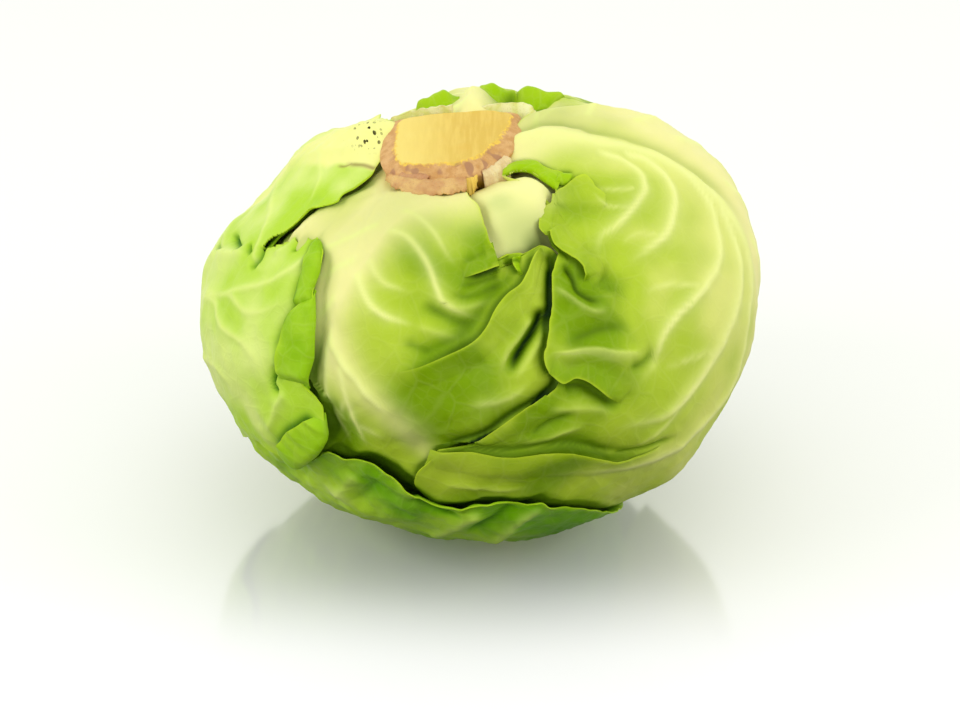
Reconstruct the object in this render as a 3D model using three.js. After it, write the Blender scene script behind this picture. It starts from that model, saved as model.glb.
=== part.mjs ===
// A head of cabbage as bought: the trimmed stem upwards, the wrapper leaves round a tight heart.
// Millimetres, +Z up. The head rests on a small flat spot and leans a little towards -Y.
// A place on the head is [degrees from the stem, degrees around it]. Around it, 0 is +X, -90 is
// the front (-Y), 90 is the back and 180 is the left.
import * as THREE from "three";
import { mergeVertices } from "three/addons/utils/BufferGeometryUtils.js";

// The outer form of the head: a flattened body whose short axis runs along the stem.
const halfWidth = 80;
const halfDepth = 78;
const halfHeight = 57;
const headCentre = new THREE.Vector3(0.4165, -0.4, 55.5); // from the box's middle
const stemLean = 8; // degrees towards -Y
const stemRoll = 4.5; // degrees towards -X

// Broad swellings and hollows of the head: spread in degrees, height in millimetres.
const swellings = [
  { at: [60, 25], spread: 40, height: 5.5 },
  { at: [110, -10], spread: 35, height: -4 },
  { at: [112, -165], spread: 35, height: -3.2 },
  { at: [52, 172], spread: 22, height: -2.2 },
  { at: [84, 180], spread: 26, height: 1.6 },
  { at: [118, -115], spread: 25, height: -2.2 },
  { at: [27, 88], spread: 20, height: -2 },
  { at: [5, -100], spread: 15, height: -11 }, // the dish that the stem sits in
];

// How the leaves lie on each other.
const leafThickness = 1.1;
const leafGap = 1; // air between a leaf and what it lies on
const layer = leafThickness + leafGap;
const heartGap = 0.9; // extra air round the heart
const heartBulge = { at: [33, -60], spread: 6.5, height: 2.5 }; // where its leaves show in front
const fullCover = 5; // degrees past a margin over which the next leaf still lies at full height
const coverRamp = 18; // degrees over which it then sinks back onto the leaf below

// The cut stem.
const stemTop = 57.5; // from the head's centre to the cut face
const stemDepth = 10;
const stemBevel = 1;
const stemTaper = 0.88; // width at its lower end over width at the cut

// The leaves from the inside out. A margin runs once round the leaf; a rib follows the midrib
// away from the stem.
const leafPlans = [
  {
    name: "leaf_back",
    centre: [80, 105],
    cells: 18,
    margin: [
      [24, 76], [27, 54], [34, 43], [55, 33], [80, 28], [105, 33], [128, 52],
      [142, 76], [144, 104], [140, 132], [118, 160], [90, 170], [62, 167], [42, 158],
      [30, 142], [26, 120], [24, 98],
    ],
    rib: [[22, 84], [45, 90], [80, 100], [120, 108]],
    ribHeight: 3,
    ribSpread: 11,
    colour: 0xb5cf66,
  },
  {
    name: "leaf_front",
    centre: [70, -116],
    cells: 16,
    margin: [
      [26, -122], [25, -98], [27, -84], [36, -80], [46, -78], [46, -67], [53, -58],
      [66, -56], [80, -62], [92, -76], [103, -94], [113, -112], [112, -136],
      [102, -150], [80, -153], [58, -156], [42, -160], [29, -146],
    ],
    rib: [[24, -113], [34, -121], [48, -125], [62, -124], [76, -117], [92, -101]],
    ribHeight: 2.5,
    ribSpread: 11,
    colour: 0xbfd777,
  },
  {
    name: "leaf_right",
    centre: [84, -50],
    cells: 22,
    margin: [
      [20, -6], [19, -34], [22, -54], [31, -46], [38, -58], [47, -62], [56, -66],
      [65, -72], [74, -74], [80, -82], [85, -96], [92, -104], [100, -98], [110, -86],
      [122, -60], [126, -20], [124, 14], [116, 34], [108, 44], [99, 50], [92, 58], [81, 60],
      [72, 55], [63, 56], [52, 50], [44, 50], [36, 44], [27, 36], [21, 20],
    ],
    rib: [[20, 12], [30, 20], [45, 19], [60, 12], [74, 3], [88, -8], [104, -20]],
    ribHeight: 3,
    ribSpread: 11,
    colour: 0xc3da7c,
  },
  {
    name: "leaf_under",
    centre: [122, -152],
    cells: 26,
    margin: [
      [30, 166], [38, -178], [52, -166], [68, -154], [84, -141], [95, -133], [90, -120],
      [92, -109], [98, -100], [99, -88], [99, -79], [104, -70], [113, -60], [127, -46],
      [142, -16], [150, 24], [146, 62], [134, 84], [127, 104], [115, 112], [104, 122],
      [92, 124], [78, 132], [52, 140], [38, 151],
    ],
    rib: [[28, 162], [60, 168], [100, 172], [135, 178]],
    ribHeight: 2,
    ribSpread: 11,
    colour: 0x8fbc3c,
  },
  {
    name: "leaf_left",
    centre: [64, 178],
    cells: 18,
    margin: [
      [27, 174], [27, -157], [36, -154], [46, -157], [54, -158], [50, -148], [47, -141],
      [57, -131], [68, -126], [80, -123], [90, -124], [96, -134], [98, -146],
      [104, -160], [105, -178], [109, 164], [103, 148], [94, 143], [86, 132], [76, 131],
      [65, 125], [54, 127], [44, 124], [37, 131], [28, 146],
    ],
    rib: [[26, 160], [34, 156], [50, 155], [70, 160], [90, 170]],
    ribHeight: 3,
    ribSpread: 11,
    colour: 0xa9cf55,
  },
];

// The cut stem's outline, seen along the stem: x to the right, y to the back.
const stemOutline = [
  [-19.5, 15], [-4, 15.8], [9, 15.5], [15, 14], [16, 7], [14.5, -2], [10.5, -10],
  [4.5, -15.5], [-2, -17.5], [-15, -16.5], [-20.5, -13.5], [-22.8, -7], [-22.3, 6],
];

// Torn bases of trimmed leaves round the stem: around and height give their reach, off is their
// distance from the stem's side and lean how much further out they stand at the top.
const stubPlans = [
  { name: "leaf_stub_front", around: [-134, -96], height: [49.5, 54], off: 0.8, lean: 0.5, colour: 0xd9b98c },
  { name: "leaf_stub_right", around: [-66, -48], height: [50, 55.5], off: 0.8, lean: 1.0, colour: 0xe4d3b4 },
  { name: "leaf_stub_back_right", around: [34, 70], height: [50, 59.5], off: 0.8, lean: 1.8, colour: 0xe2dcae },
  { name: "leaf_stub_back_left", around: [106, 134], height: [50, 61], off: 0.8, lean: 1.8, colour: 0xd8dc9c },
];
const stubThickness = 1.1;

const radians = THREE.MathUtils.degToRad;
const degrees = THREE.MathUtils.radToDeg;
const { smoothstep, clamp } = THREE.MathUtils;

// The head's own axes: width, depth and stem.
const lean = Math.sin(radians(stemLean));
const roll = Math.sin(radians(stemRoll));
const stemAxis = new THREE.Vector3(-roll, -lean, Math.sqrt(1 - lean ** 2 - roll ** 2));
const widthAxis = new THREE.Vector3(1, 0, 0).addScaledVector(stemAxis, roll).normalize();
const depthAxis = new THREE.Vector3().crossVectors(stemAxis, widthAxis);
const headAxes = new THREE.Matrix4()
  .makeBasis(widthAxis, depthAxis, stemAxis)
  .setPosition(headCentre);

function direction([fromStem, around]) {
  const t = radians(fromStem);
  const a = radians(around);
  return new THREE.Vector3(Math.sin(t) * Math.cos(a), Math.sin(t) * Math.sin(a), Math.cos(t));
}

function headRadius(d) {
  let r = 1 / Math.hypot(d.x / halfWidth, d.y / halfDepth, d.z / halfHeight);
  for (const { centre, spread, height } of swellings) {
    r += height * Math.exp(-((degrees(d.angleTo(centre)) / spread) ** 2));
  }
  return r;
}
for (const swelling of [...swellings, heartBulge]) swelling.centre = direction(swelling.at);

// A leaf's own map of the head: angle away from its centre, bearing 0 round the head and 90 up
// to the stem.
function leafMap(place) {
  const out = direction(place);
  const stem = new THREE.Vector3(0, 0, 1);
  const east = new THREE.Vector3().crossVectors(stem, out).normalize();
  const north = new THREE.Vector3().crossVectors(out, east);
  return {
    to(d) {
      return { angle: degrees(d.angleTo(out)), bearing: Math.atan2(d.dot(north), d.dot(east)) };
    },
    from(angle, bearing) {
      const a = radians(angle);
      return new THREE.Vector3()
        .addScaledVector(out, Math.cos(a))
        .addScaledVector(east, Math.sin(a) * Math.cos(bearing))
        .addScaledVector(north, Math.sin(a) * Math.sin(bearing));
    },
  };
}

// How far the leaf reaches at each bearing, from a smooth curve through its margin points.
function marginReach(map, margin) {
  const corners = margin.map((place) => {
    const { angle, bearing } = map.to(direction(place));
    return new THREE.Vector3(angle * Math.cos(bearing), angle * Math.sin(bearing), 0);
  });
  const curve = new THREE.CatmullRomCurve3(corners, true, "centripetal");
  const steps = 720;
  const reach = new Float64Array(steps).fill(0);
  for (const p of curve.getPoints(steps * 8)) {
    const slot = Math.round(((Math.atan2(p.y, p.x) / (2 * Math.PI) + 1) % 1) * steps) % steps;
    reach[slot] = Math.max(reach[slot], Math.hypot(p.x, p.y));
  }
  return (bearing) => {
    const at = ((bearing / (2 * Math.PI) + 2) % 1) * steps;
    const low = Math.floor(at) % steps;
    return THREE.MathUtils.lerp(reach[low], reach[(low + 1) % steps], at - Math.floor(at));
  };
}

// Height of a leaf's midrib: highest near the stem and fading out along the leaf.
function ribHeightAt(leaf, d) {
  let nearest = Infinity;
  let along = 0;
  leaf.ribPoints.forEach((p, i) => {
    const angle = degrees(d.angleTo(p));
    if (angle < nearest) {
      nearest = angle;
      along = i / (leaf.ribPoints.length - 1);
    }
  });
  const fade = 1 - smoothstep(along, 0.35, 1);
  return leaf.ribHeight * fade * Math.exp(-((nearest / leaf.ribSpread) ** 2));
}

for (const leaf of leafPlans) {
  leaf.map = leafMap(leaf.centre);
  leaf.reach = marginReach(leaf.map, leaf.margin);
  leaf.ribPoints = new THREE.CatmullRomCurve3(leaf.rib.map(direction)).getPoints(30)
    .map((p) => p.normalize());
}

// 1 on the leaf and just past its margin, then falling to 0.
function cover(leaf, d) {
  const { angle, bearing } = leaf.map.to(d);
  const past = angle - leaf.reach(bearing);
  return 1 - smoothstep(past, fullCover, fullCover + coverRamp);
}

// The heart sinks under the leaves by as much as they are thick, so that the outermost leaf
// everywhere follows the head's outer form.
function heartRadius(d) {
  return leafPlans.reduce((r, leaf) => r - layer * cover(leaf, d), headRadius(d));
}

function undersideRadius(index, d) {
  let r = heartRadius(d) + leafGap;
  for (const below of leafPlans.slice(0, index)) {
    const c = cover(below, d);
    if (c > 0) r += c * (layer + ribHeightAt(below, d));
  }
  return r;
}

// Places a point on the head, not lower than the given height over the resting surface.
function placeOnHead(d, radius, lowest) {
  const p = d.clone().multiplyScalar(radius).applyMatrix4(headAxes);
  p.z = Math.max(p.z, lowest);
  return p;
}

function shapeVertices(geometry, place) {
  for (const name of ["normal", "uv"]) geometry.deleteAttribute(name);
  const merged = mergeVertices(geometry, 1e-5);
  const position = merged.attributes.position;
  const v = new THREE.Vector3();
  for (let i = 0; i < position.count; i += 1) {
    v.fromBufferAttribute(position, i);
    const p = place(v);
    position.setXYZ(i, p.x, p.y, p.z);
  }
  merged.computeVertexNormals();
  return merged;
}

function makeMesh(name, geometry, colour, roughness) {
  const material = new THREE.MeshStandardMaterial({ color: colour, roughness, metalness: 0 });
  const mesh = new THREE.Mesh(geometry, material);
  mesh.name = name;
  return mesh;
}

// A square grid drawn out to a round one, without pinching: ring and bearing of a grid point.
function squareToRound(x, y) {
  const ring = Math.max(Math.abs(x), Math.abs(y));
  if (ring === 0) return { ring: 0, bearing: 0 };
  const quarter = Math.PI / 4;
  let bearing;
  if (Math.abs(x) >= Math.abs(y)) bearing = quarter * (y / x) + (x < 0 ? Math.PI : 0);
  else bearing = Math.PI / 2 - quarter * (x / y) + (y < 0 ? Math.PI : 0);
  return { ring, bearing };
}

function leafGeometry(leaf, index) {
  const plate = new THREE.BoxGeometry(2, 2, 2, leaf.cells, leaf.cells, 1);
  return shapeVertices(plate, ({ x, y, z }) => {
    const { ring, bearing } = squareToRound(x, y);
    const d = leaf.map.from(ring * leaf.reach(bearing), bearing);
    const under = undersideRadius(index, d);
    if (z < 0) return placeOnHead(d, under, leafThickness);
    return placeOnHead(d, under + leafThickness + ribHeightAt(leaf, d), 0);
  });
}

function heartGeometry() {
  return shapeVertices(new THREE.SphereGeometry(1, 44, 28), (v) => {
    const d = new THREE.Vector3(v.x, -v.z, v.y).normalize();
    const off = degrees(d.angleTo(heartBulge.centre)) / heartBulge.spread;
    const radius = heartRadius(d) - heartGap + heartBulge.height * Math.exp(-(off ** 2));
    const underStem = (stemTop - stemDepth - heartGap) / Math.max(d.z, 0.5);
    return placeOnHead(d, Math.min(radius, underStem), layer);
  });
}

function stemGeometry() {
  const outline = new THREE.Shape(stemOutline.map(([x, y]) => new THREE.Vector2(x, y)));
  const stem = new THREE.ExtrudeGeometry(outline, {
    depth: stemDepth - 2 * stemBevel,
    steps: 1,
    bevelEnabled: true,
    bevelThickness: stemBevel,
    bevelSize: stemBevel,
    bevelOffset: -stemBevel,
    bevelSegments: 1,
  });
  stem.translate(0, 0, stemTop - stemDepth + stemBevel);
  return shapeVertices(stem, (v) => {
    const up = clamp((v.z - (stemTop - stemDepth)) / stemDepth, 0, 1);
    const width = THREE.MathUtils.lerp(stemTaper, 1, up);
    return new THREE.Vector3(v.x * width, v.y * width, v.z).applyMatrix4(headAxes);
  });
}

// Distance from the stem's axis to its cut outline, in a direction around it.
function stemSide(around) {
  const ray = new THREE.Vector2(Math.cos(around), Math.sin(around));
  let side = 0;
  stemOutline.forEach(([ax, ay], i) => {
    const [bx, by] = stemOutline[(i + 1) % stemOutline.length];
    const cross = ray.x * (by - ay) - ray.y * (bx - ax);
    const s = (ray.y * ax - ray.x * ay) / cross;
    const t = (ax * (by - ay) - ay * (bx - ax)) / cross;
    if (s >= 0 && s <= 1 && t > 0) side = Math.max(side, t);
  });
  return side;
}

function stubGeometry({ around, height, off, lean: outward }) {
  const flake = new THREE.BoxGeometry(2, 2, 2, 8, 3, 1);
  return shapeVertices(flake, ({ x, y, z }) => {
    const a = radians(THREE.MathUtils.lerp(around[0], around[1], (x + 1) / 2));
    const up = (y + 1) / 2;
    const torn = 1 - 0.3 * Math.abs(x) ** 3 - 0.12 * (1 + Math.cos(7 * x));
    const distance = stemSide(a) + off + outward * up + (z < 0 ? 0 : stubThickness);
    const level = THREE.MathUtils.lerp(height[0], height[1], up * torn);
    return new THREE.Vector3(distance * Math.cos(a), distance * Math.sin(a), level)
      .applyMatrix4(headAxes);
  });
}

const cabbageHead = new THREE.Group();
cabbageHead.add(makeMesh("heart", heartGeometry(), 0xe6e8ac, 0.5));
leafPlans.forEach((leaf, index) => {
  cabbageHead.add(makeMesh(leaf.name, leafGeometry(leaf, index), leaf.colour, 0.45));
});
cabbageHead.add(makeMesh("stem", stemGeometry(), 0xe0c072, 0.6));
for (const stub of stubPlans) {
  cabbageHead.add(makeMesh(stub.name, stubGeometry(stub), stub.colour, 0.7));
}

export default cabbageHead;
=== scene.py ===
# A trimmed head of white cabbage, dressed over its CAD solids.
# Lengths are in millimetres until a point is placed in the scene, which is in metres.
# A place on the head is (degrees from the stem, degrees around it). Around, 0 is +X, -90 the
# front, 90 the back and 180 the left.
import math
import random

import bpy
import numpy as np
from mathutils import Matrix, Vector


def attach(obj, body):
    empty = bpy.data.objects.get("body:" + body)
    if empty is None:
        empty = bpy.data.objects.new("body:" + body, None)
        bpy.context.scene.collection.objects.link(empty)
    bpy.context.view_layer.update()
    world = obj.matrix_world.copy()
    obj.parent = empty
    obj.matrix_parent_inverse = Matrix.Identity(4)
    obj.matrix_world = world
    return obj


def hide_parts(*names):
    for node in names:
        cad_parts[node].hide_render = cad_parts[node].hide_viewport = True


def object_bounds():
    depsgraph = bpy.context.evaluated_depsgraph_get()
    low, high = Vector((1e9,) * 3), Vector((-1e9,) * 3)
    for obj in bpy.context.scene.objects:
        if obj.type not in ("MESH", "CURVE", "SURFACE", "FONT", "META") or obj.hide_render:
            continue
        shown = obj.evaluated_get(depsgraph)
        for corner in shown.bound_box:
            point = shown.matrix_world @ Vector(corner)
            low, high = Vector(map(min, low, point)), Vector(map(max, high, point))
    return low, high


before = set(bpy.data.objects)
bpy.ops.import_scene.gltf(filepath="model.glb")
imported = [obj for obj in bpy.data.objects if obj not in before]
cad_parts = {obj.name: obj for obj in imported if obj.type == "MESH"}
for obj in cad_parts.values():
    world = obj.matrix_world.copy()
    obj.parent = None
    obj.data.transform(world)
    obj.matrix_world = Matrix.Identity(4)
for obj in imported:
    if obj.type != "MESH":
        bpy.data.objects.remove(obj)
cadBox = [list(corner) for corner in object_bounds()]
print("frame loaded:", len(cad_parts), "nodes")

headShape = {
    "halfSizes": (80.0, 78.0, 57.0),
    "centre": (0.4165, -0.4, 55.5),
    "lean": 8.0,  # degrees towards -Y
    "roll": 4.5,  # degrees towards -X
    # place, spread in degrees, height
    "swellings": [
        ((60, 25), 40, 5.5), ((110, -10), 35, -4), ((112, -165), 35, -3.2),
        ((52, 172), 22, -2.2), ((84, 180), 26, 1.6), ((118, -115), 25, -2.2),
        ((27, 88), 20, -2), ((5, -100), 15, -11),
    ],
    "squeeze": 1.5,    # the last millimetres before the CAD box, over which a surface eases off
    "squeezed": 0.9,   # the share of them that it can fill
}

leafStack = {
    "thickness": 1.1,
    "gap": 1.0,
    "fullCover": 5.0,   # degrees past a margin where the next leaf still lies high
    "coverRamp": 18.0,  # degrees over which it sinks back
    "blade": 0.8,       # thickness of a leaf blade here
    "tuck": 2.2,        # how far a leaf sinks once it is well under the next one
    "ribSpread": 11.0,  # degrees over which a thick rib lifts the leaves over it
}

# A leaf's margin is kept as its distance from the leaf's centre at each bearing.
marginTable = {
    "bearings": 1440,
    "linePoints": 6000,
    "ragged": 0.05,  # degrees
    "teeth": (23, 31, 47, 61, 83, 109),  # waves round the whole margin
    "softening": 34,  # bearings to each side that are averaged where steps would show
    "notchReach": 36,  # degrees round a notch where it counts as margin
}

fullTurn = 6.283  # radians


def unit(v):
    return v / np.linalg.norm(v, axis=-1, keepdims=True)


def direction(places):
    p = np.radians(np.atleast_2d(np.asarray(places, float)))
    t, a = p[:, 0], p[:, 1]
    return np.stack([np.sin(t) * np.cos(a), np.sin(t) * np.sin(a), np.cos(t)], 1)


def ease(value, low=0.0, high=1.0):
    t = np.clip((value - low) / (high - low), 0, 1)
    return t * t * (3 - 2 * t)


def bell(distance, width, power=2):
    # 1 at no distance, falling away over the width
    return np.exp(-(np.abs(distance) / width) ** power)


def angleBetween(d, other):
    return np.degrees(np.arccos(np.clip(d @ other, -1, 1)))


def spots(d, plans):
    # the sum of soft round spots, each with its place, spread in degrees and amount
    total = np.zeros(len(d))
    for place, spread, amount in plans:
        total += amount * bell(angleBetween(d, direction(place)[0]), spread)
    return total


def headAxes():
    lean = math.sin(math.radians(headShape["lean"]))
    roll = math.sin(math.radians(headShape["roll"]))
    stem = np.array([-roll, -lean, math.sqrt(1 - lean ** 2 - roll ** 2)])
    width = unit(np.array([1.0, 0, 0]) + roll * stem)
    return np.stack([width, np.cross(stem, width), stem], 1)


axesOfHead = headAxes()
centreOfHead = np.array(headShape["centre"])


def keepInBox(p):
    # eases points that come near the faces of the CAD box back inside it
    low, high = (np.array(corner) * 1000 for corner in cadBox)
    room = headShape["squeeze"]
    filled = room * headShape["squeezed"]
    over = np.maximum(p - (high - room), 0)
    under = np.maximum((low + room) - p, 0)
    under[:, 2] = 0  # the head rests on its lowest face
    p = p - over + filled * (1 - np.exp(-over / room))
    return p + under - filled * (1 - np.exp(-under / room))


def toScene(pointsInHead, lowest=0.0):
    p = keepInBox(pointsInHead @ axesOfHead.T + centreOfHead)
    p[:, 2] = np.maximum(p[:, 2], lowest)
    return p / 1000


def headRadius(d):
    return (1 / np.linalg.norm(d / np.array(headShape["halfSizes"]), axis=1)
            + spots(d, headShape["swellings"]))


def smoothLine(points, count, closed=False):
    # a centripetal curve through the points
    p = np.asarray(points, float)
    if closed:
        p = np.vstack([p[-1], p, p[:2]])
    else:
        p = np.vstack([2 * p[0] - p[1], p, 2 * p[-1] - p[-2]])
    spans = len(p) - 3
    steps = max(2, int(math.ceil(count / spans)))
    out = []
    for i in range(spans):
        p0, p1, p2, p3 = p[i:i + 4]
        a, b, c = [max(np.linalg.norm(q) ** 0.5, 1e-4) for q in (p1 - p0, p2 - p1, p3 - p2)]
        m1 = ((p1 - p0) / a - (p2 - p0) / (a + b) + (p2 - p1) / b) * b
        m2 = ((p2 - p1) / b - (p3 - p1) / (b + c) + (p3 - p2) / c) * b
        t = np.arange(steps)[:, None] / steps
        out.append((2 * t ** 3 - 3 * t ** 2 + 1) * p1 + (t ** 3 - 2 * t ** 2 + t) * m1
                   + (-2 * t ** 3 + 3 * t ** 2) * p2 + (t ** 3 - t ** 2) * m2)
    if not closed:
        out.append(p[-2][None])
    return np.vstack(out)


def evenLine(points, count):
    # the same curve with its points evenly spaced
    line = smoothLine(points, 8 * count)
    run = np.concatenate([[0], np.cumsum(np.linalg.norm(np.diff(line, axis=0), axis=1))])
    at = np.linspace(0, run[-1], count)
    return np.column_stack([np.interp(at, run, line[:, k]) for k in range(line.shape[1])])


def leafAxes(place):
    out = direction(place)[0]
    east = unit(np.cross([0, 0, 1.0], out))
    return out, east, np.cross(out, east)


def toLeaf(leaf, d):
    # leaf map, in degrees from the leaf's centre: x round the head, y up to the stem
    out, east, north = leaf["axes"]
    angle = angleBetween(d, out)
    x, y = d @ east, d @ north
    length = np.maximum(np.hypot(x, y), 1e-9)
    return np.stack([x / length * angle, y / length * angle], 1)


def fromLeaf(leaf, xy):
    out, east, north = leaf["axes"]
    angle = np.radians(np.hypot(xy[:, 0], xy[:, 1]))
    bearing = np.arctan2(xy[:, 1], xy[:, 0])
    flat = np.cos(bearing)[:, None] * east + np.sin(bearing)[:, None] * north
    return np.cos(angle)[:, None] * out + np.sin(angle)[:, None] * flat


def placesOnLeaf(leaf, places):
    return toLeaf(leaf, direction(places))


def marginReach(leaf):
    line = smoothLine(placesOnLeaf(leaf, leaf["margin"]), marginTable["linePoints"], closed=True)
    steps = marginTable["bearings"]
    slot = np.round((np.arctan2(line[:, 1], line[:, 0]) / (2 * np.pi) % 1) * steps).astype(int)
    reach = np.zeros(steps)
    np.maximum.at(reach, slot % steps, np.hypot(line[:, 0], line[:, 1]))
    filled = np.nonzero(reach)[0]
    reach = np.interp(np.arange(steps), filled, reach[filled], period=steps)
    rng = random.Random(leaf["seed"])
    turn = np.arange(steps) * 2 * np.pi / steps
    for count in marginTable["teeth"]:
        size = marginTable["ragged"] * rng.uniform(0.3, 1)
        reach += size * np.sin(count * turn + rng.uniform(0, fullTurn))
    return reach


def softened(reach):
    # the same distances without sudden steps
    spread = marginTable["softening"]
    kernel = np.hanning(2 * spread + 1)
    around = np.concatenate([reach[-spread:], reach, reach[:spread]])
    return np.convolve(around, kernel / kernel.sum(), "valid")


def reachAt(leaf, bearing, kind="reach"):
    table = leaf[kind]
    at = (bearing / (2 * np.pi) % 1) * len(table)
    return np.interp(at, np.arange(len(table) + 1), np.append(table, table[0]))


def insideOf(xy, line):
    # whether points lie inside a closed line
    inside = np.zeros(len(xy), bool)
    for (ax, ay), (bx, by) in zip(line, np.roll(line, -1, 0)):
        crosses = (ay > xy[:, 1]) != (by > xy[:, 1])
        at = ax + (xy[:, 1] - ay) * (bx - ax) / (by - ay if by != ay else 1e-9)
        inside ^= crosses & (xy[:, 0] < at)
    return inside


def pastMargin(leaf, xy, kind="reach"):
    # degrees past the margin of a leaf, its notches included; negative on the leaf
    past = np.hypot(xy[:, 0], xy[:, 1]) - reachAt(leaf, np.arctan2(xy[:, 1], xy[:, 0]), kind)
    for line in leaf["notchLines"]:
        near = nearLine(xy, line, marginTable["notchReach"])
        _, side, _ = measureLine(xy[near], np.vstack([line, line[:1]]))
        signed = np.where(insideOf(xy[near], line), 1, -1) * np.abs(side)
        past[near] = np.maximum(past[near], signed)
    return past


def coverOf(leaf, d):
    start = leafStack["fullCover"]
    return 1 - ease(pastMargin(leaf, toLeaf(leaf, d), "softReach"), start,
                    start + leafStack["coverRamp"])


def measureLine(xy, line):
    # place along the line from 0 to 1, distance from it, positive on its left, and its normal
    a, b = line[:-1], line[1:]
    lengths = np.linalg.norm(b - a, axis=1)
    starts = np.concatenate([[0], np.cumsum(lengths)])
    best = np.full(len(xy), 1e9)
    along = np.zeros(len(xy))
    side = np.ones(len(xy))
    nearest = np.zeros(len(xy), int)
    for i in range(len(a)):
        step = b[i] - a[i]
        rel = xy - a[i]
        t = np.clip(rel @ step / max(lengths[i] ** 2, 1e-9), 0, 1)
        gap = rel - t[:, None] * step
        distance = np.hypot(gap[:, 0], gap[:, 1])
        nearer = distance < best
        best[nearer] = distance[nearer]
        along[nearer] = (starts[i] + t[nearer] * lengths[i]) / starts[-1]
        side[nearer] = np.where(step[0] * rel[nearer, 1] - step[1] * rel[nearer, 0] < 0, -1, 1)
        nearest[nearer] = i
    steps = b - a
    normal = np.column_stack([-steps[:, 1], steps[:, 0]]) / np.maximum(lengths, 1e-9)[:, None]
    kernel = np.array([1, 2, 3, 2, 1]) / 9
    if len(normal) > len(kernel):
        padded = np.vstack([normal[[0, 0]], normal, normal[[-1, -1]]])
        normal = np.column_stack([np.convolve(padded[:, k], kernel, "valid") for k in (0, 1)])
    return along, best * side, normal[nearest]


def nearLine(xy, line, reach):
    low, high = line.min(0) - reach, line.max(0) + reach
    return np.nonzero(((xy > low) & (xy < high)).all(1))[0]


def fadeEnds(along, ends):
    start, end = ends
    fade = np.ones(len(along))
    if start > 0:
        fade = fade * ease(along / start)
    if end > 0:
        fade = fade * ease((1 - along) / end)
    return fade


def waves(d, seed, size, count=18):
    # an uneven swell of about 1, of the given wavelength in degrees
    rng = random.Random(seed)
    total = np.zeros(len(d))
    for _ in range(count):
        axis = unit(np.array([rng.gauss(0, 1) for _ in range(3)]))
        k = 360 / size * rng.uniform(0.6, 1.5)
        total += np.sin(d @ axis * k + rng.uniform(0, fullTurn))
    return total / math.sqrt(count)


# under: how strong the painted shade is that a flap casts along its free line.
# The wrapper leaves, from the inside out. All paths are places on the head.
# margin: once round the leaf. midrib: from the stem outwards, ribWidth degrees wide.
# rib: the midrib's thick part, which stands ribHeight over the head under the leaves above.
# grow: the side veins off the midrib, on one or both sides of it, and their branches.
# ribs: rise, width, paleness, (share that fades at the start, at the end), path.
# creases: rise, width on the left, width on the right, lean to the left in degrees, the same
#   fades, path. A lean folds the ridge over.
# flaps: folds and turned-over margins, from a fold line to a free line. Either rise and roll,
#   or section, a list of (how far across, height). ends is the share that fades at each end,
#   and wave the size and number of ripples. An outer flap keeps the colours of its leaf.
# cracks: width and path of a dry brown line. notches: outlines cut out of the leaf.
# paleStem: degrees from the stem where the cream starts to fade and where it ends.
# greenEdge: degrees in from the margin that are greener, and by how much.
# swell: size and wavelength of its unevenness. marginLift: how far the margin stands up.
# tones, creams, bumps, shadows, specks: place, spread in degrees, and how much greener,
#   creamier, higher, darker or more dotted it is there.
# shade, slitShade: painted shade on the leaf below beside the margin, and where it is darker.
leafDefaults = {
    "ribs": [], "creases": [], "flaps": [], "cracks": [], "notches": [], "creams": [],
    "bumps": [], "shadows": [], "specks": [], "slitShade": [], "crinkle": 1.0,
}

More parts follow.
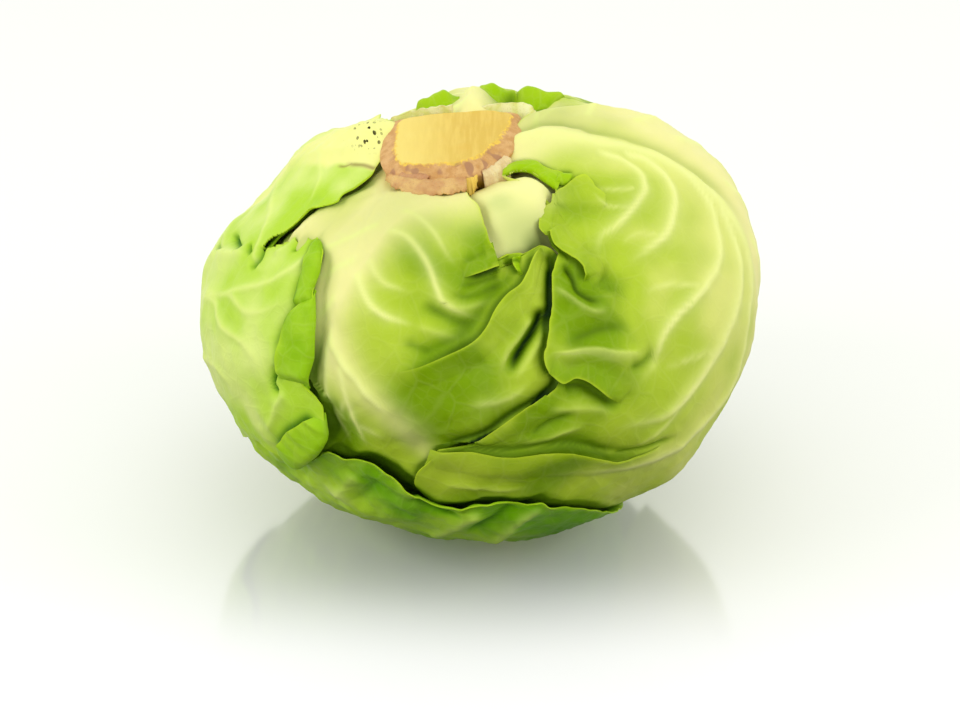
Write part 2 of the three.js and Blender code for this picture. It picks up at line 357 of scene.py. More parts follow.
leafBack = {
    "name": "leaf_back", "slot": "pale_leaf", "centre": (80, 105), "rows": 208, "seed": 5,
    "margin": [
        (13, 84), (14, 66), (18, 58), (24, 50), (34, 43), (55, 33), (80, 28), (105, 33), (128, 52),
        (142, 76), (144, 104), (140, 132), (118, 160), (90, 170), (62, 167), (42, 158), (30, 142),
        (19, 126), (14, 108),
    ],
    "midrib": [(14, 82), (45, 90), (80, 100), (120, 108), (136, 110)],
    "rib": [(22, 84), (45, 90), (80, 100), (120, 108)],
    "ribWidth": 6.5, "ribHeight": 3.0,
    "grow": {"count": 7, "from": 0.06, "to": 0.85, "spread": 62, "length": 62, "bend": 0.01,
             "branches": 4, "sides": (1, -1), "rise": 0.55},
    "creases": [
        # the thick end of its midrib stands up behind the stem
        (4.6, 2.2, 7.5, 0, (0.3, 0.35), [(14, 84), (19, 84), (25, 85), (33, 87)]),
        (-2.2, 8, 8, 0, (0.1, 0.5), [(16, 58), (26, 64), (44, 74)]),
        (-2.2, 8, 8, 0, (0.1, 0.5), [(16, 124), (27, 120), (44, 112)]),
        (1.6, 3, 3, 0, (0.2, 0.4), [(40, 60), (60, 54), (84, 52)]),
        (-1.2, 3, 3, 0, (0.2, 0.4), [(38, 68), (60, 66), (86, 66)]),
        (1.2, 3, 3, 0, (0.2, 0.4), [(46, 126), (66, 134), (90, 138)]),
    ],
    "flaps": [
        # green frills beside the midrib
        {"fold": [(26.5, 82), (26.5, 76), (27.5, 69), (29, 61)],
         "free": [(30, 84), (30.5, 78), (31, 70), (31.5, 61)],
         "section": [(0.0, -0.3), (0.35, 0.8), (0.7, 1.7), (1.0, 2.3), (1.3, 2.5)],
         "ends": (0.1, 0.2), "wave": (0.25, 2)},
        {"fold": [(30.5, 70), (30.5, 60), (32, 52), (35, 43)],
         "free": [(34, 71), (34, 61), (35.5, 52), (38.5, 42)],
         "section": [(0.0, -0.3), (0.35, 1.4), (0.7, 3.0), (1.0, 4.1), (1.3, 4.3)],
         "ends": (0.3, 0.3), "wave": (0.15, 1.5)},
        {"fold": [(27.5, 93), (27.5, 101), (28, 109), (29.5, 119)],
         "free": [(30.5, 93), (31, 102), (31.5, 111), (32.5, 119)],
         "section": [(0.0, -0.3), (0.35, 1.2), (0.7, 2.6), (1.0, 3.4), (1.3, 3.6)],
         "ends": (0.3, 0.25), "wave": (0.15, 2)},
    ],
    "paleStem": (14, 30), "greenEdge": (34, 0.75), "green": 0.25, "swell": (0.35, 26),
    "marginLift": 0.7, "shade": 0.45,
    "tones": [((30, 62), 12, 0.4), ((32, 124), 10, 0.3)],
    "shadows": [((29, 64), 2.6, 0.6)],
}

leafFront = {
    "name": "leaf_front", "slot": "pale_leaf", "centre": (70, -116), "rows": 205, "seed": 11,
    "margin": [
        (15, -146), (15, -120), (15, -98), (21, -90), (26, -87), (30, -83.5), (36, -82),
        (41, -81.5), (43.5, -80.3), (45.7, -80.5), (47.3, -79.2), (45.2, -76), (45.3, -72.5),
        (46.4, -69.5), (45.1, -66.5), (45, -64.2), (47, -61.5), (52, -59), (60, -57), (68, -56),
        (80, -62), (92, -76), (103, -94), (113, -112), (112, -136), (102, -150), (80, -156),
        (60, -164), (44, -170), (30, -172), (19, -166),
    ],
    "midrib": [(15, -112), (25, -119), (33, -124), (45, -126), (52, -127), (60, -127),
               (66, -124.5), (71, -119.5), (75, -112.5), (81, -105), (90, -98)],
    "rib": [(24, -113), (34, -121), (48, -125), (62, -124), (76, -117), (92, -101)],
    "ribWidth": 8.0, "ribHeight": 2.5,
    "grow": {"count": 5, "from": 0.2, "to": 0.8, "spread": 55, "length": 34, "bend": 0.012,
             "branches": 2, "sides": (-1,), "rise": 0.4},
    "ribs": [
        (0.5, 1.3, 0.8, (0.1, 0.4), [(40, -121), (40, -112), (44, -104.5), (48, -100.8),
         (52, -98.5), (55.2, -96.2), (57.8, -91), (58.6, -85)]),
        (0.5, 1.2, 0.9, (0.1, 0.4), [(50, -124), (55.3, -117.8), (57.4, -114.5), (58.8, -110.8),
         (59.5, -107), (60.5, -102)]),
        (0.4, 1.1, 0.6, (0.1, 0.5), [(47, -122), (51.7, -114), (52.5, -110), (53.3, -104)]),
        (0.7, 1.1, 1.0, (0.2, 0.3), [(62, -125.5), (66.3, -123.4), (69.7, -119.1), (72.3, -115.3),
         (75.3, -111.6), (79, -106)]),
        (0.4, 1.2, 0.6, (0.1, 0.5), [(33, -120), (34, -111), (38, -102), (44, -96), (48, -92)]),
        (0.3, 1.1, 0.3, (0.3, 0.4), [(76, -92), (75.9, -85.2), (75, -81.3), (72.3, -77.8)]),
    ],
    "creases": [
        # the hollow under the long fold
        (-1.6, 3.0, 2.4, 0, (0.2, 0.2), [(66.8, -103), (64, -96), (61.6, -91), (58.8, -88),
         (55.4, -85), (53, -81.5), (50.6, -77), (48, -73)]),
        # pleats that run into it
        (-1.2, 1.6, 1.8, 0, (0.3, 0.1), [(52, -93), (51.2, -89), (50.6, -85.6), (49.6, -80.6)]),
        (-1.0, 3.0, 2.0, 0, (0.4, 0.1), [(46, -92), (45, -87), (44.6, -83)]),
        (-1.1, 1.7, 1.7, 0, (0.3, 0.2), [(52.4, -95), (54, -91.7), (53.7, -87.6), (52.4, -83.2),
         (51.6, -79.4)]),
        (1.0, 1.8, 1.8, 0, (0.3, 0.3), [(52, -101), (55.4, -96.3), (56.6, -91.8), (56, -87.4),
         (54.6, -82)]),
        (-1.6, 2.0, 2.2, 0, (0.3, 0.3), [(55, -103), (58, -96), (59.6, -91.9), (60, -87.6)]),
        (1.0, 2.0, 1.8, 0, (0.3, 0.3), [(60, -104), (61.4, -98), (62.6, -93.8), (63, -90.8)]),
        (-0.9, 1.6, 1.4, 0, (0.3, 0.3), [(63.6, -106), (64.9, -101), (66.2, -98)]),
        (-1.4, 1.1, 1.0, 0, (0.2, 0.2), [(47, -78.5), (47.2, -75.5), (47, -72.5)]),
        # the deep fold beside the crack
        (-3.2, 1.6, 2.2, 0, (0.15, 0.3), [(58.6, -70.2), (61.4, -72.6), (63.8, -75.2),
         (66.4, -78.2), (69, -80.6), (72, -82.4)]),
        (1.4, 1.2, 1.2, 0.3, (0.15, 0.3), [(59.9, -74), (62, -76.4), (64.2, -78.8), (65.8, -81),
         (68.2, -83), (71.2, -84)]),
        (1.2, 1.6, 1.3, 0, (0.2, 0.3), [(62.6, -71.2), (65.2, -73.6), (67.6, -76.4), (70, -79.2),
         (73, -81.4)]),
        (-1.2, 4.5, 3.5, 0, (0.3, 0.3), [(69.2, -94), (67.5, -90.5), (66, -87)]),
        # it dives into the crack along the next leaf
        (-2.2, 1.2, 1.7, 0, (0.05, 0.1), [(46.4, -61.8), (51.6, -64.4), (55.8, -67), (59.1, -69),
         (62.8, -69.8), (65, -71.3), (68.4, -72.8), (71, -73.4), (73.9, -72.3), (76.5, -76),
         (79, -82.6), (82.4, -88.6), (84.2, -94.6), (86, -99.5)]),
        # and tucks in under the left leaf
        (-2.0, 4.0, 4.0, 0, (0.1, 0.1), [(50, -138), (58, -132.5), (66, -128), (76, -126),
         (86, -120.5), (92, -124)]),
    ],
    "flaps": [
        # the long fold from the lower left up to the margin
        {"fold": [(74, -104), (72, -96.5), (69.5, -90), (66.5, -84.5), (63.5, -80), (60.5, -76),
                  (57, -72.4), (53.5, -69.4), (50, -66.6), (47.4, -63.6)],
         "free": [(70, -108), (68.4, -102), (65.9, -95.5), (63.4, -89.2), (60.9, -86.1),
                  (57.3, -83.3), (54.4, -79.5), (52.9, -75.7), (50.5, -72.6), (46.7, -68.2),
                  (45.3, -64.7)],
         "rise": 2.8, "roll": 0.5, "ends": (0.3, 0.05), "wave": (0.12, 5), "outer": True},
        # a lip above the pleats
        {"fold": [(45.6, -92.4), (44.6, -89), (43.4, -85.6), (42.2, -82.6), (41.5, -80.4)],
         "free": [(49.6, -91.4), (49.4, -88.9), (48.9, -86), (48.3, -82.9), (47.8, -79.8)],
         "rise": 1.6, "roll": 0.3, "ends": (0.4, 0.02), "wave": (0.08, 3), "outer": True,
         "under": 0.85},
        # a small curl between them
        {"fold": [(45.8, -71.6), (47.8, -73), (49.6, -73.2), (51.2, -72.6)],
         "free": [(46, -75), (47.4, -75.8), (49.2, -75.4), (50.8, -74.4)],
         "section": [(0.0, -0.4), (0.3, 0.8), (0.7, 1.6), (1.0, 1.9)], "ends": (0.1, 0.3),
         "wave": (0.1, 2)},
    ],
    "paleStem": (22, 44), "greenEdge": (8, 0.3), "green": 0.3, "swell": (0.3, 20),
    "marginLift": 0.5, "shade": 0.45,
    "tones": [((58, -86), 13, 0.3), ((44, -84), 9, 0.2), ((74, -88), 12, 0.3),
              ((84, -122), 7, 0.5), ((92, -124), 8, 0.5), ((50, -112), 14, 0.1),
              ((79, -105), 8, 0.3), ((43, -100), 11, 0.35), ((80, -100), 16, 0.25),
              ((70, -96), 8, 0.4)],
    "creams": [((46, -134), 9, 0.8), ((48, -156), 9, 0.9), ((58, -134), 8, 0.7),
               ((70, -128), 7, 0.5), ((34, -132), 10, 0.6)],
    "bumps": [((20, -110), 9, -3.0), ((47, -153), 8, 2.0), ((51, -158), 3.5, 0.9)],
    "shadows": [((13, -100), 6, 0.25), ((32, -122), 12, 0.14), ((43, -104), 9, 0.08),
                ((44, -144), 8, 0.08)],
}

leafRight = {
    "name": "leaf_right", "slot": "pale_leaf", "centre": (84, -50), "rows": 205, "seed": 23,
    "margin": [
        (13, -6), (14, -36), (17.3, -56), (19.3, -53.4), (22.9, -48.6), (26.4, -44.6),
        (30.7, -42.8), (33, -44.5), (34.2, -47.4), (36.3, -51.8), (38.6, -54.8), (41.1, -57.9),
        (42.3, -60.7), (44.8, -61.4), (47.6, -60.8), (49.2, -62.4), (51.9, -65.5), (55, -67.4),
        (58.7, -69.1), (62.6, -71.3), (65.8, -73), (69, -74.4), (71.6, -74), (73.7, -72.6),
        (76, -75.4), (79.9, -80.4), (82.4, -86.5), (84.8, -93), (85, -97.6), (87.6, -99.6),
        (90.8, -102.6), (94.9, -103.2), (100, -99), (106, -92), (112, -80), (122, -64), (134, -34),
        (136, 0), (128, 24), (116, 38), (108, 45), (99, 50), (92, 58), (81, 60), (72, 55),
        (63, 56), (52, 50), (44, 50), (36, 44), (27, 36), (18, 30), (14, 18),
    ],
    "midrib": [(13, 14), (20, 16), (30, 18), (41, 16), (51, 13), (60, 9), (70, 2), (80, -6),
               (92, -14), (106, -24), (116, -32)],
    "rib": [(20, 12), (30, 20), (45, 19), (60, 12), (74, 3), (88, -8), (104, -20)],
    "ribWidth": 9.0, "ribHeight": 3.0,
    "grow": {"count": 7, "from": 0.12, "to": 0.9, "spread": 52, "length": 60, "bend": 0.01,
             "branches": 4, "sides": (1,), "rise": 0.6},
    "ribs": [
        (1.3, 3.4, 0.9, (0.0, 0.25), [(13, 5), (21.3, -3.8), (28.4, -5.9), (34.5, -5.2),
         (40.4, -3.1), (45.6, -1.9), (50.9, -2.5), (56.9, -3.8), (62, -4.7), (67.5, -6.4),
         (72.8, -8.1), (77.8, -11.1), (85, -17)]),
        (0.7, 1.5, 0.9, (0.15, 0.35), [(31, -7), (34.9, -10.7), (40.2, -10.7), (45, -13.3),
         (47.4, -19), (47.9, -26), (48.3, -34.2), (48.7, -40.3), (48.9, -46.3), (53.8, -53.5)]),
        (0.8, 1.6, 1.0, (0.15, 0.3), [(36, -3), (39.8, -6.1), (44.9, -5.8), (49.7, -8.8),
         (53.3, -13.8), (55.2, -20.4), (56.7, -28.4), (56.6, -35.5), (56.7, -42.6), (57, -46.2)]),
        (0.8, 1.4, 1.0, (0.15, 0.25), [(44, -2.5), (48.2, -3.4), (52.7, -3.3), (57.1, -5.3),
         (61.5, -7.9), (65.5, -13.3), (68.2, -19), (69.5, -26), (70.2, -34), (70.8, -41.9),
         (72.9, -47.3), (76.7, -51.2), (78.4, -54.7), (79.8, -57.8)]),
        (0.9, 1.4, 1.0, (0.15, 0.3), [(50, -1.6), (53.6, -0.4), (59.3, -2.4), (65.2, -7.4),
         (70.7, -11.5), (76.3, -18.9), (79.9, -27.5), (82.7, -34.5), (84.9, -40.5), (86.9, -47),
         (87.6, -52.6), (86.5, -57.8), (86, -62.4), (87.5, -65)]),
        (0.7, 1.4, 0.9, (0.1, 0.4), [(68, -6), (78.3, -12.1), (83.1, -18.4), (88.7, -22.2),
         (94, -27), (96.6, -35), (97, -42), (98.3, -46), (98.1, -51.5), (97.5, -59.1),
         (95.6, -66.4), (93.8, -72.9), (93.5, -80)]),
        (0.4, 0.9, 0.5, (0.1, 0.5), [(46, -20), (43, -26), (40, -30), (37, -31)]),
        (0.3, 0.8, 0.5, (0.1, 0.5), [(47.8, -27), (45, -34), (42, -36), (38.4, -34)]),
        (0.3, 0.8, 0.5, (0.1, 0.5), [(82, -33), (80.4, -40), (79, -46), (78.3, -51)]),
        (0.3, 0.8, 0.5, (0.1, 0.5), [(70, -30), (66, -36), (64, -42), (63, -48)]),
        (0.3, 0.8, 0.4, (0.1, 0.5), [(56, -30), (53, -36), (52.5, -44)]),
        (0.3, 0.8, 0.5, (0.1, 0.5), [(86, -45), (90, -52), (92.6, -60)]),
    ],
    "creases": [
        (-1.6, 9, 9, 0, (0, 0.5), [(14, 32), (24, 30), (40, 28)]),
        # the hollow beside the thick ribs by the stem
        (-1.6, 3.2, 3.0, 0, (0.0, 0.3), [(14, 19), (24.6, 13), (33, 7), (40.7, 5.6), (48, 4.8),
         (54.7, 3.6), (62, 1.4), (71.1, -1.8), (78, -5)]),
        (1.2, 2.5, 3.0, 0, (0.1, 0.3), [(18.6, 26), (26.2, 27), (32.4, 27), (40.3, 25),
         (47.1, 23.3), (53.5, 21), (60.4, 19), (70, 13), (82, 4)]),
        (-0.9, 1.4, 1.4, 0, (0.1, 0.3), [(26, 33), (36, 33), (46, 29), (58, 26), (70, 20),
         (84, 10)]),
        # hollows and pleats of the lobes
        (-2.2, 1.5, 1.4, 0, (0.2, 0.25), [(50.4, -62), (53.1, -60.9), (55.2, -60.8), (57.4, -61.2),
         (59.3, -60), (60.9, -58), (61.6, -55.4)]),
        (1.5, 1.2, 1.5, 0, (0.2, 0.3), [(54.9, -67.1), (56.8, -65.5), (58.6, -63.9), (60.9, -62),
         (62.6, -59.7), (63.7, -55.3)]),
        (-1.6, 3.0, 3.0, 0, (0.3, 0.3), [(55.9, -53.2), (57.6, -52.4), (59.6, -52.8),
         (61, -53.6)]),
        (2.0, 0.9, 3.0, 0.4, (0.15, 0.3), [(68, -73), (68.6, -69.8), (69, -66.2), (69.9, -62.5),
         (71.6, -59), (72.7, -56), (73.5, -53.1), (73.4, -50)]),
        (-1.8, 2.6, 2.0, 0, (0.3, 0.3), [(66, -70), (66.8, -67.8), (66.8, -64.3), (66.7, -59.9),
         (67.5, -55.8), (69, -52)]),
        (-1.3, 1.6, 1.6, 0, (0.3, 0.3), [(74.2, -49), (75.4, -52), (75.6, -55), (75, -58)]),
        (-1.8, 1.2, 2.0, 0, (0.1, 0.25), [(74.8, -72), (75.1, -69.4), (76, -67.2), (78, -65.2),
         (80.2, -63), (82, -60.4)]),
        (1.0, 1.6, 1.6, 0, (0.2, 0.3), [(78.4, -76), (79, -73), (79.6, -69), (81, -65.4),
         (83.4, -62)]),
        (-1.4, 1.1, 1.1, 0, (0.2, 0.3), [(83.9, -79.6), (82.3, -78.2), (81.4, -76.3), (80.6, -73),
         (80.2, -70)]),
        (1.2, 1.2, 1.2, 0, (0.2, 0.3), [(82.6, -81.5), (84.4, -80.4), (84.6, -77), (83.6, -73),
         (83.4, -68)]),
        (1.4, 2.2, 0.8, -0.5, (0.2, 0.2), [(83.4, -91), (82.2, -87.6), (80.8, -85), (79.6, -83.4),
         (79.4, -81.6)]),
        (-1.6, 0.8, 1.2, 0, (0.2, 0.2), [(82.6, -90), (81.2, -86.6), (79.8, -84.6)]),
        # under the band along the bottom
        (-1.8, 2.4, 1.2, 0, (0.1, 0.25), [(83.6, -94), (84.4, -90.5), (85.2, -87.4), (85.6, -84),
         (85.4, -80.2), (85.5, -76), (86.4, -72), (88, -69), (90.4, -65.6), (91.8, -62.4),
         (92.6, -57)]),
        (-1.5, 1.0, 1.3, 0, (0.2, 0.3), [(92.6, -64), (93.4, -58), (94, -52), (94.6, -47)]),
        (0.9, 1.2, 1.2, 0, (0.2, 0.3), [(93.6, -98), (94.4, -92), (95.6, -86), (96.2, -80)]),
    ],
    "flaps": [
        # the first lobe over the second, the second over the third, the third's own fold
        {"fold": [(41, -53), (44, -53), (47, -52.6), (49.4, -51.6), (51.6, -50.8), (53.8, -50.8),
                  (56.4, -52)],
         "free": [(42.2, -60.7), (44.8, -61.6), (47.6, -60.9), (49.6, -59.4), (51, -58.2),
                  (52.8, -57.6), (54.6, -58), (56.5, -58.4)],
         "rise": 2.1, "roll": 0.3, "ends": (0.05, 0.12), "wave": (0.12, 3), "outer": True},
        {"fold": [(66.4, -71), (67, -67), (68.6, -63.4), (70.8, -60.6), (73.2, -58.4), (76, -57),
                  (79.4, -56)],
         "free": [(71.6, -74.2), (73.7, -72), (73.4, -69.2), (74.5, -67.2), (76.4, -65.4),
                  (78.9, -63.4), (81.4, -60.6)],
         "rise": 2.3, "roll": 0.4, "ends": (0.08, 0.3), "wave": (0.12, 4), "outer": True},
        {"fold": [(77.4, -72), (79.6, -75.4), (82, -79.6), (83.8, -84.4), (85, -89)],
         "free": [(75.6, -75.6), (76.8, -79.4), (78.6, -82.6), (80.6, -85.8), (83.6, -90.6)],
         "rise": 1.6, "roll": 0.3, "ends": (0.2, 0.15), "wave": (0.1, 3), "outer": True},
        # the band along the bottom over all of them
        {"fold": [(89.5, -101), (91.6, -96), (93, -90), (94, -85), (95, -80), (96, -75),
                  (97.4, -70), (98.8, -64), (99.6, -57), (99.6, -50)],
         "free": [(85, -99.4), (85.1, -94), (85.2, -91.2), (85.9, -88.6), (86.7, -86), (87, -83.1),
                  (86.9, -80.2), (87, -75.7), (87.8, -72.1), (89, -70.3), (91.6, -66), (93.6, -63),
                  (94.6, -58), (95, -50)],
         "rise": 2.6, "roll": 0.5, "ends": (0.05, 0.3), "wave": (0.2, 7), "outer": True},
        # the margin rolled back along the top, ending in a curl
        {"fold": [(18.2, -58), (19, -52.5), (20, -46), (22, -42.8), (24.4, -41.6), (27.6, -42.6),
                  (30.4, -43.6), (33, -43.4)],
         "free": [(17.2, -55), (16.4, -44), (17.6, -37.4), (19.6, -34.4), (22.2, -33.6),
                  (25.2, -34.4), (27.8, -34.6), (30.4, -33.4)],
         "section": [(-0.02, -1.2), (-0.1, -0.5), (-0.1, 0.3), (0.05, 0.9), (0.35, 1.2),
         (0.75, 1.1), (1.0, 0.8)], "ends": (0.1, 0.0), "wave": (0.1, 3)},
        {"fold": [(30.6, -42.4), (32.2, -41.6), (33.6, -40), (34, -37.5)],
         "free": [(29.2, -35.2), (30.4, -33), (31.8, -31), (33.3, -30.6)],
         "section": [(0.0, 0.4), (0.1, 1.6), (0.4, 2.4), (0.65, 2.0), (0.7, 1.2), (0.6, 0.7),
         (0.45, 0.9)], "ends": (0.3, 0.3), "wave": (0.0, 1)},
        # the little pointed lobe below it
        {"fold": [(37.4, -51), (39.6, -50.4), (41.4, -48), (42.8, -44.6), (43.8, -41),
                  (44.6, -36.6)],
         "free": [(33.8, -46.6), (34, -42.4), (33.8, -37.8), (33.8, -33.2), (34.8, -30.2),
                  (36.8, -30.6), (39.2, -32.6), (42.8, -33.6)],
         "rise": 1.7, "roll": 0.2, "ends": (0.04, 0.06), "wave": (0.12, 3), "outer": True,
         "under": 0.4},
        # a frill that shows from under the first lobe
        {"fold": [(34.6, -45.6), (37.6, -49.5), (40, -53), (42.4, -56.6), (44.2, -58.8)],
         "free": [(33.6, -47.8), (35.7, -52), (35.8, -54.6), (37.2, -58.2), (39.1, -61.2),
                  (41, -62.7), (43, -62)],
         "section": [(0.0, -1.4), (0.5, -1.0), (1.0, -0.5)], "ends": (0.0, 0.0), "wave": (0.5, 5),
         "outer": True},
    ],
    "notches": [
        [(15.5, -62), (18.4, -57.3), (19.4, -51.6), (20.5, -45.4), (22.5, -42.4), (24.8, -41.3),
         (27.8, -42.2), (30.8, -43.2), (33, -44.2), (34.4, -47.4), (36.3, -51.8), (38.4, -55),
         (38.5, -62), (32, -70), (22, -74)],
    ],
    "paleStem": (20, 40), "greenEdge": (14, 0.45), "green": 0.2, "swell": (0.3, 22),
    "marginLift": 0.4, "shade": 0.5,
    "tones": [((56, -56), 9, 0.4), ((64, -60), 10, 0.2), ((44, -30), 9, 0.25), ((51, -22), 6, 0.2),
              ((72, -62), 12, 0.3), ((86, -74), 12, 0.35), ((94, -84), 10, 0.3),
              ((62, -30), 7, 0.2), ((76, -42), 7, 0.15), ((37, -44), 5, 0.12), ((86, -57), 9, 0.3),
              ((96, -76), 10, 0.25), ((60, 30), 30, -0.3), ((26, 30), 9, 0.3), ((34, 16), 8, 0.2)],
    "creams": [((44, 26), 14, 0.4), ((62, 22), 14, 0.5), ((80, 4), 14, 0.55), ((76, -24), 12, 0.3),
               ((54, -14), 14, 0.15), ((28, 28), 8, -0.35), ((38, 12), 7, -0.3),
               ((26, -34), 9, -0.3)],
    "bumps": [((56, 34), 13, -1.8), ((77, 9), 5, -1.2), ((89, -7), 4, -1.4), ((113, -44), 9, 3.0),
              ((50, 43), 8, -1.6), ((39, 26), 8, -1.6), ((59, 18), 8, -1.1), ((93, -4), 6, -1.0)],
    "shadows": [((46, -28), 9, 0.07), ((20, 24), 6, 0.13), ((28, 14), 6, 0.13),
                ((38, 14), 5, 0.08), ((37, -48), 1.6, 0.45)],
    "slitShade": [((52, -66), 5, 0.5), ((60, -70), 5, 0.5), ((80, -82), 6, 0.5), ((83, -90), 7, 0.5),
              ((76, -76), 5, 0.4)],
}

leafUnder = {
    "name": "leaf_under", "slot": "green_leaf", "centre": (122, -152), "rows": 195, "seed": 31,
    "margin": [
        (30, 166), (38, -178), (52, -166), (68, -154), (84, -141), (94.5, -132), (94.3, -128),
        (91.5, -124.4), (89.2, -121.5), (89.9, -117.2), (89.1, -113.7), (90.6, -109.8),
        (93.2, -106), (94.7, -104.4), (95.8, -103), (98.4, -100.3), (99.2, -97.6), (99.1, -92.9),
        (98.2, -90.4), (98.2, -87), (99.3, -83.5), (99.5, -80.7), (99.1, -78.5), (101.4, -76.5),
        (103.4, -72.7), (107, -67), (113.6, -61), (126, -48), (140, -18), (150, 24), (146, 62),
        (134, 84), (127, 104), (115, 112), (104, 122), (92, 124), (78, 132), (52, 140), (38, 151),
    ],
    "midrib": [(28, 162), (60, 168), (100, 172), (135, 178), (160, -150), (150, -90), (125, -80)],
    "rib": [(28, 162), (60, 168), (100, 172), (135, 178)],
    "ribWidth": 4.0, "ribHeight": 2.0,
    "grow": {"count": 11, "from": 0.1, "to": 0.97, "spread": 55, "length": 60, "bend": 0.008,
             "branches": 3, "sides": (1, -1), "rise": 0.5},
    "creases": [
        (2.0, 2.6, 2.6, 0, (0.2, 0.1), [(119.7, -91.1), (113.6, -87.8), (105.7, -83.6),
         (101.9, -80.4), (100, -78.2)]),
        (1.8, 2.6, 2.6, 0, (0.2, 0.1), [(115.8, -106.6), (112.9, -101.8), (108.1, -97.3),
         (103.2, -93.4), (100.5, -90.6)]),
        (-1.6, 1.6, 1.6, 0, (0.3, 0.1), [(112, -95), (107, -91), (102.5, -87), (99.4, -84)]),
        (-1.8, 1.4, 1.4, 0, (0.1, 0.3), [(96.4, -104), (99.6, -101.6), (101.4, -98.4),
         (102.4, -94)]),
        (-1.4, 2.6, 2.6, 0, (0.3, 0.1), [(104, -120), (99, -115), (94, -111)]),
        (1.2, 2.4, 2.4, 0, (0.3, 0.1), [(106, -127), (100, -121), (94, -116.6)]),
    ],
    "paleStem": (26, 40), "greenEdge": (16, 0.35), "green": 0.45, "swell": (0.4, 18),
    "marginLift": 0.7, "crinkle": 2.0, "shade": 0.5,
    "tones": [((100, -95), 40, 0.15), ((106, -70), 16, 0.3), ((100, -122), 12, -0.1)],
    "bumps": [((103, -151), 8, 2.2)],
    "shadows": [((122, -74), 12, 0.5), ((126, -110), 16, 0.35)],
    "slitShade": [((90, -112), 8, 0.4), ((98, -98), 8, 0.4), ((99, -84), 8, 0.4)],
}

